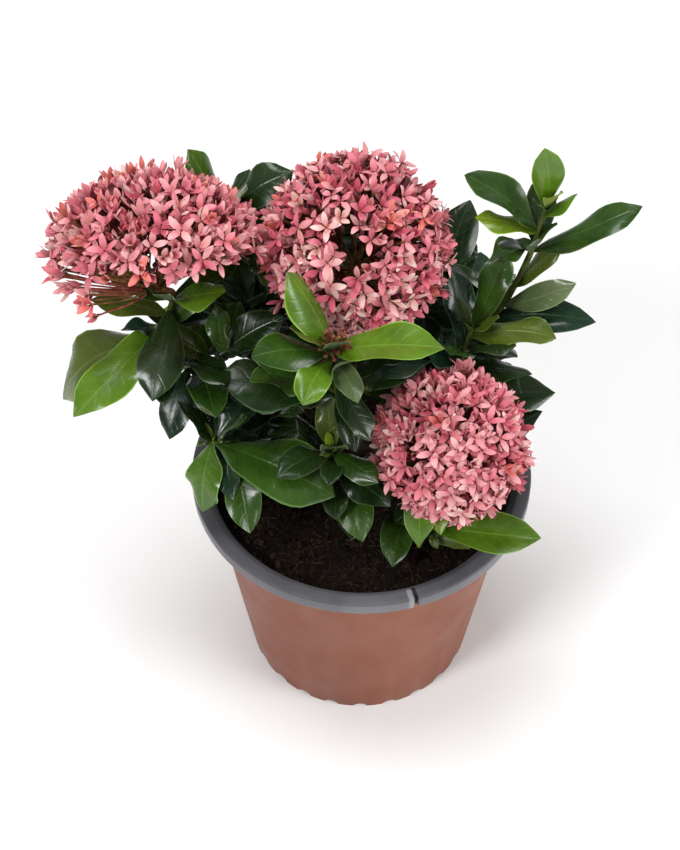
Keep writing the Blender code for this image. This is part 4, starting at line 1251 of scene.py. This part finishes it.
def make_pot():
    """The pot turned finely, with a hooked rim, a scalloped foot, a nick and drain holes."""
    shelf, lip, under = POT_HEIGHT - LIP_WIDTH * 0.6, POT_HEIGHT - RIM_DROP, POT_HEIGHT - RIM_SKIN
    hook, sole = RIM_RADIUS - RIM_SKIN, BASE_RADIUS - NOTCH_DEPTH
    # The rim's top zone takes the grey painted darker as painted shade, and its side zone takes the grey
    # painted lighter as painted light.
    inside, top, side, body = range(4)
    profile = rounded([
        (0, FLOOR, 0, inside), (DRAIN_CIRCLE * 1.35, FLOOR, 0, inside),
        (inner_radius(FLOOR), FLOOR, 2 * MM, inside), (inner_radius(SOIL_TOP), SOIL_TOP, 0, inside),
        (inner_radius(shelf), shelf, 1.2 * MM, inside),
        (RIM_RADIUS - LIP_WIDTH, POT_HEIGHT, 0.9 * MM, top), (RIM_RADIUS, POT_HEIGHT, 1.1 * MM, top),
        (RIM_RADIUS, lip, 0.6 * MM, side), (hook, lip, 0.4 * MM, side),
        (hook, under, 0.5 * MM, side), (inner_radius(under) + WALL + RIM_SKIN, under, 0.5 * MM, side),
        (NECK_RADIUS, lip, 1.5 * MM, body), (NECK_RADIUS - 8 * MM, 62 * MM, 0, body),
        (BASE_RADIUS + 0.8 * MM, 6 * MM, 0, body), (BASE_RADIUS, 0, 0, body),
        (sole, 0, 0, body), (BASE_RADIUS - NOTCH_DEPTH * 1.02, 0, 0, body), (0, 0, 0, body),
    ])
    nick = math.radians(NICK_HEADING - 90)
    steps = [2 * k / POT_STEPS - 1 for k in range(POT_STEPS)]
    turns = [nick + math.pi * (EVEN_SHARE * step + (1 - EVEN_SHARE) * step ** 3) for step in steps]
    rings, marks = [], []
    for spot, zone in profile:
        if spot.x == 0:
            rings.append([Vector((0, 0, spot.y))])
            marks.append((0.0, 0.0, 0.0))
            continue
        ring = []
        for turn in turns:
            radius, height, mark = *spot, (0.0, 0.0, 0.0)
            if zone in (top, side):
                radius, height, mark = nicked(radius, height, (turn - nick) * RIM_RADIUS)
            if height == 0 and radius > BASE_RADIUS - NOTCH_DEPTH * 1.01:
                height = foot_notch(turn)
            ring.append(Vector((radius * math.cos(turn), radius * math.sin(turn), height)))
            marks.append(mark)
        rings.append(ring)
    heap = Heap()
    heap.add(loft(rings), [zone for _, zone in profile[1:] for _ in turns], marks)
    pot = heap.make("pot_shell", [plastic_material(*look) for look in PLASTICS], 40)
    drill_holes(pot)
    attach(pot, "root")
    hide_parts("pot")


def soil_level(x, y):
    """Height of the soil's broken surface."""
    spot = Vector((x, y, 0))
    return SOIL_TOP + sum(height * noise.noise(spot * grain) for height, grain in SOIL_SWELLS) * MM


def soil_spot(reach, chance):
    """A place drawn evenly over the soil, out to a radius."""
    turn, out = chance.uniform(0, math.tau), reach * math.sqrt(chance.random())
    return out * math.cos(turn), out * math.sin(turn)


def add_crumbs(heap, edge, chance):
    """Crumbs of peat, more of them brown on the pot's left."""
    lump = bmesh.new()
    bmesh.ops.create_icosphere(lump, subdivisions=2, radius=1.0)
    ball = [vert.co.copy() for vert in lump.verts]
    faces = [tuple(vert.index for vert in face.verts) for face in lump.faces]
    lump.free()
    for _ in range(CRUMBS):
        x, y = soil_spot(edge - 2 * MM, chance)
        size = chance.uniform(0.5, 1.0) ** 2 * CRUMB_SIZE
        stretch = Vector([chance.uniform(0.6, 1.3) for _ in range(3)])
        spin = Quaternion(heading_vector(chance.uniform(0, 360), 30), chance.uniform(0, 6))
        seat = Vector((x, y, soil_level(x, y) + size * 0.15))
        points = []
        for spot in ball:
            rough = 1 + 0.45 * noise.noise(spot * 1.7 + Vector((x, y, 0)) * 900)
            points.append(seat + spin @ (spot * stretch * rough) * size)
        heap.add((points, faces), 1 if chance.random() < (0.75 if x < BROWN_SIDE else 0.3) else 0)


def add_fibres(heap, edge, chance):
    """Loose fibres that lie over the soil, kept off the pot's wall."""
    for _ in range(FIBRES):
        x, y = soil_spot(edge - 3 * MM, chance)
        heading, length = chance.uniform(0, 360), chance.uniform(*FIBRE_LENGTHS) * MM
        path = []
        for share in spread(-0.5, 0.5, FIBRE_POINTS):
            swerve = heading + 40 * share * chance.uniform(-1, 1)
            spot = Vector((x, y, 0)) + heading_vector(swerve, 0) * length * share
            lean = min(1.0, (edge - 1.5 * MM) / max(math.hypot(spot.x, spot.y), MM))
            spot.x, spot.y = spot.x * lean, spot.y * lean
            lift = 0.2 + 1.2 * chance.random() * (1 - 4 * share * share)
            spot.z = soil_level(spot.x, spot.y) + lift * MM
            path.append(spot)
        girth = chance.uniform(0.10, 0.28) * MM
        skin = tube_skin(path, spread(girth, girth * 0.5, FIBRE_POINTS), 4)
        heap.add(skin, 2 if chance.random() < 0.45 else 1)


def make_soil():
    """Peat with a broken top, crumbs and loose fibres, filling the pot to just under its lip."""
    chance = random.Random(f"{SEED} soil")
    edge = inner_radius(SOIL_TOP) - GAP
    rings = [[Vector((0, 0, soil_level(0, 0)))]]
    angles = [math.tau * k / SOIL_STEPS for k in range(SOIL_STEPS)]
    for i in range(1, SOIL_RINGS + 1):
        radius = edge * (i / SOIL_RINGS) ** 0.75
        spots = [(radius * math.cos(a), radius * math.sin(a)) for a in angles]
        rings.append([Vector((x, y, soil_level(x, y))) for x, y in spots])
    low = inner_radius(FLOOR) - 2 * MM
    rings.append([Vector((low * math.cos(a), low * math.sin(a), FLOOR + GAP)) for a in angles])
    rings.append([Vector((0, 0, FLOOR + GAP))])
    heap = Heap()
    heap.add(loft(rings), 0)
    add_crumbs(heap, edge, chance)
    add_fibres(heap, edge, chance)
    soil = heap.make("peat", [plain_material(*look) for look in SOILS], 70)
    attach(soil, "root")
    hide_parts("soil")


# ---- the plant ----
TIP_LEAVES = 5
TIP_TONES = "ooym"
STEM_SHARES = (STEM_FLARE, 1.15, 1.0, 0.95, 0.9, 0.86, 0.8, 0.74, 0.7)
STALK_SPAN = (1.3 * MM, 1.8 * MM)


def add_growing_tip(heap, shoot, tones, mood):
    """Small young leaves, still folded together, at the head of a shoot without a bloom."""
    head = mm(shoot.head)
    lead = (head - mm(shoot.knee)).normalized()
    east, north = side_frame(lead)
    for k in range(TIP_LEAVES):
        lean = turned(east, north, GOLDEN_ANGLE * k)
        along = (lead + lean * (0.15 + 0.13 * k)).normalized()
        face = (lead - along * along.dot(lead) - lean * 0.4).normalized()
        face = (face - along * face.dot(along)).normalized()
        size = (5.0 + 1.6 * k) * MM
        leaf = Leaf(head - lead * MM, along, face, size, size * 0.4, 0.3)
        add_leaf(heap, leaf, mood.choice(TIP_TONES), tones, mood)


def dress_mass(name, mass, crown, thicket, leaves, wood):
    """The fine leaves and limbs of one mass, with the growth that fills it."""
    twigs, hand, ruled = mass
    shoot, tones = SHOOTS[name], list(TONE_COLOURS)
    mood = random.Random(f"{SEED} tones {name}")
    for leaf, tone in zip(hand, TONES.get(name, "")):
        if leaf:
            add_leaf(leaves, leaf, tone, tones, mood)
    fill_twigs, fill = grow_fill(name, thicket, crown)
    for leaf in ruled + fill:
        if leaf:
            add_leaf(leaves, leaf, mood.choice(RULE_TONES), tones, mood)
    if name not in BLOOMS and name != YOUNG_HEAD:
        add_growing_tip(leaves, shoot, tones, mood)
    wood.add(limb(shoot_path(shoot, 14), (SHOOT_RADIUS, TWIG_TIP_RADIUS), 9, 0.35, 300), 1)
    for twig in twigs + fill_twigs:
        wood.add(limb(smooth_path(twig, 8), (TWIG_RADIUS, TWIG_TIP_RADIUS * 0.8), 8, 0.3, 300), 1)
    wood.add(limb(bough_path(shoot, 16), (BOUGH_RADIUS, SHOOT_RADIUS), 10, 0.4, 220), 0)


def make_plant():
    """Leaves, wood and blossom as pieces by kind, in place of the coarse masses."""
    thicket = Thicket()
    masses = grow_plant(thicket)
    crown = crown_points(masses)
    leaves, wood, tubes = Heap(), Heap(), Heap()
    for name, mass in masses.items():
        dress_mass(name, mass, crown, thicket, leaves, wood)
    stem = smooth_path([mm(STEM_FOOT), mm(STEM_HEAD)], len(STEM_SHARES))
    wood.add(limb(stem, [STEM_RADIUS * share for share in STEM_SHARES], 14, 0.35, 160), 0)
    tops = [leaf_material(name, deep, light, 0.20, 0.2) for name, deep, light in TONE_COLOURS.values()]
    unders = [leaf_material(name, deep, light, 0.48, 0.0) for name, deep, light in UNDERSIDES.values()]
    pieces = [(leaves.make("leaves", tops + unders), "leaves", ["foliage_" + name for name in SHOOTS]),
              (wood.make("twigs", [plain_material(*look) for look in BARKS]), "bark",
               ["stem"] + ["bough_" + name for name in SHOOTS])]
    petal_tones = [petal_material(name + "_petal", *colours) for name, colours in PETAL_TONES.items()]
    tube_tones = [plain_material(*look) for look in TUBES]
    grow_bud_cluster(YOUNG_HEAD, tubes)
    for name in BLOOMS:
        petals = Heap()
        grow_fine_bloom(name, thicket, (petals, tubes))
        tubes.add(limb(smooth_path(stalk_path(name), 7), STALK_SPAN, 8, 0.2, 300), 0)
        pieces.append((petals.make("petals_" + name, petal_tones), "blossom", ["bloom_" + name]))
    pieces.append((tubes.make("floret_tubes", tube_tones), "blossom", []))
    for piece, slot, nodes in pieces:
        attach(piece, "root")
        if nodes:
            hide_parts(*nodes)


# ---- floor, light and camera ----
VIEW_TARGET = Vector((-0.0108, 0.0, 0.161))
VIEW_RISE = 49
VIEW_DISTANCE = 0.8
LENS = 69.5
SENSOR = 36
FLOOR_HALF = 4
FLOOR_WHITES = ((0.96, 0.96, 0.96), (0.975, 0.975, 0.975))
SKY_STRENGTH = 0.30

# Name, place, width and power of each light.
LIGHTS = (
    ("top_softbox", (-0.3, 0.2, 2.2), 1.2, 26.0),
    ("left_softbox", (-0.9, -0.9, 1.3), 0.5, 13.0),
    ("right_softbox", (1.3, -0.6, 0.8), 0.8, 13.0),
)


def make_stage():
    """A pale floor, soft studio lights and the camera."""
    mesh = bpy.data.meshes.new("floor")
    corners = [(x * FLOOR_HALF, y * FLOOR_HALF, 0) for x, y in ((-1, -1), (1, -1), (1, 1), (-1, 1))]
    mesh.from_pydata(corners, [], [(0, 1, 2, 3)])
    floor = put("floor", mesh)
    nodes = Nodes("floor_white", roughness=0.9)
    nodes.colour(nodes.mix(nodes.noise(3.0), *FLOOR_WHITES))
    mesh.materials.append(nodes.material)
    world = bpy.data.worlds.new("studio")
    world.use_nodes = True
    background = world.node_tree.nodes["Background"]
    background.inputs["Color"].default_value = (1.0, 1.0, 1.0, 1.0)
    background.inputs["Strength"].default_value = SKY_STRENGTH
    bpy.context.scene.world = world
    for name, place, size, power in LIGHTS:
        light = bpy.data.lights.new(name, "AREA")
        light.shape, light.size, light.energy = "DISK", size, power
        lamp = put(name, light)
        lamp.location = place
        lamp.rotation_euler = (VIEW_TARGET - Vector(place)).to_track_quat("-Z", "Y").to_euler()
    lens = bpy.data.cameras.new("camera")
    lens.lens, lens.sensor_width = LENS, SENSOR
    camera = put("camera", lens)
    away = heading_vector(0, VIEW_RISE)
    camera.location = VIEW_TARGET + away * VIEW_DISTANCE
    camera.rotation_euler = (-away).to_track_quat("-Z", "Y").to_euler()
    bpy.context.scene.camera = camera
    bpy.context.scene.view_settings.view_transform = "Standard"


make_stage()
make_pot()
make_soil()
make_plant()
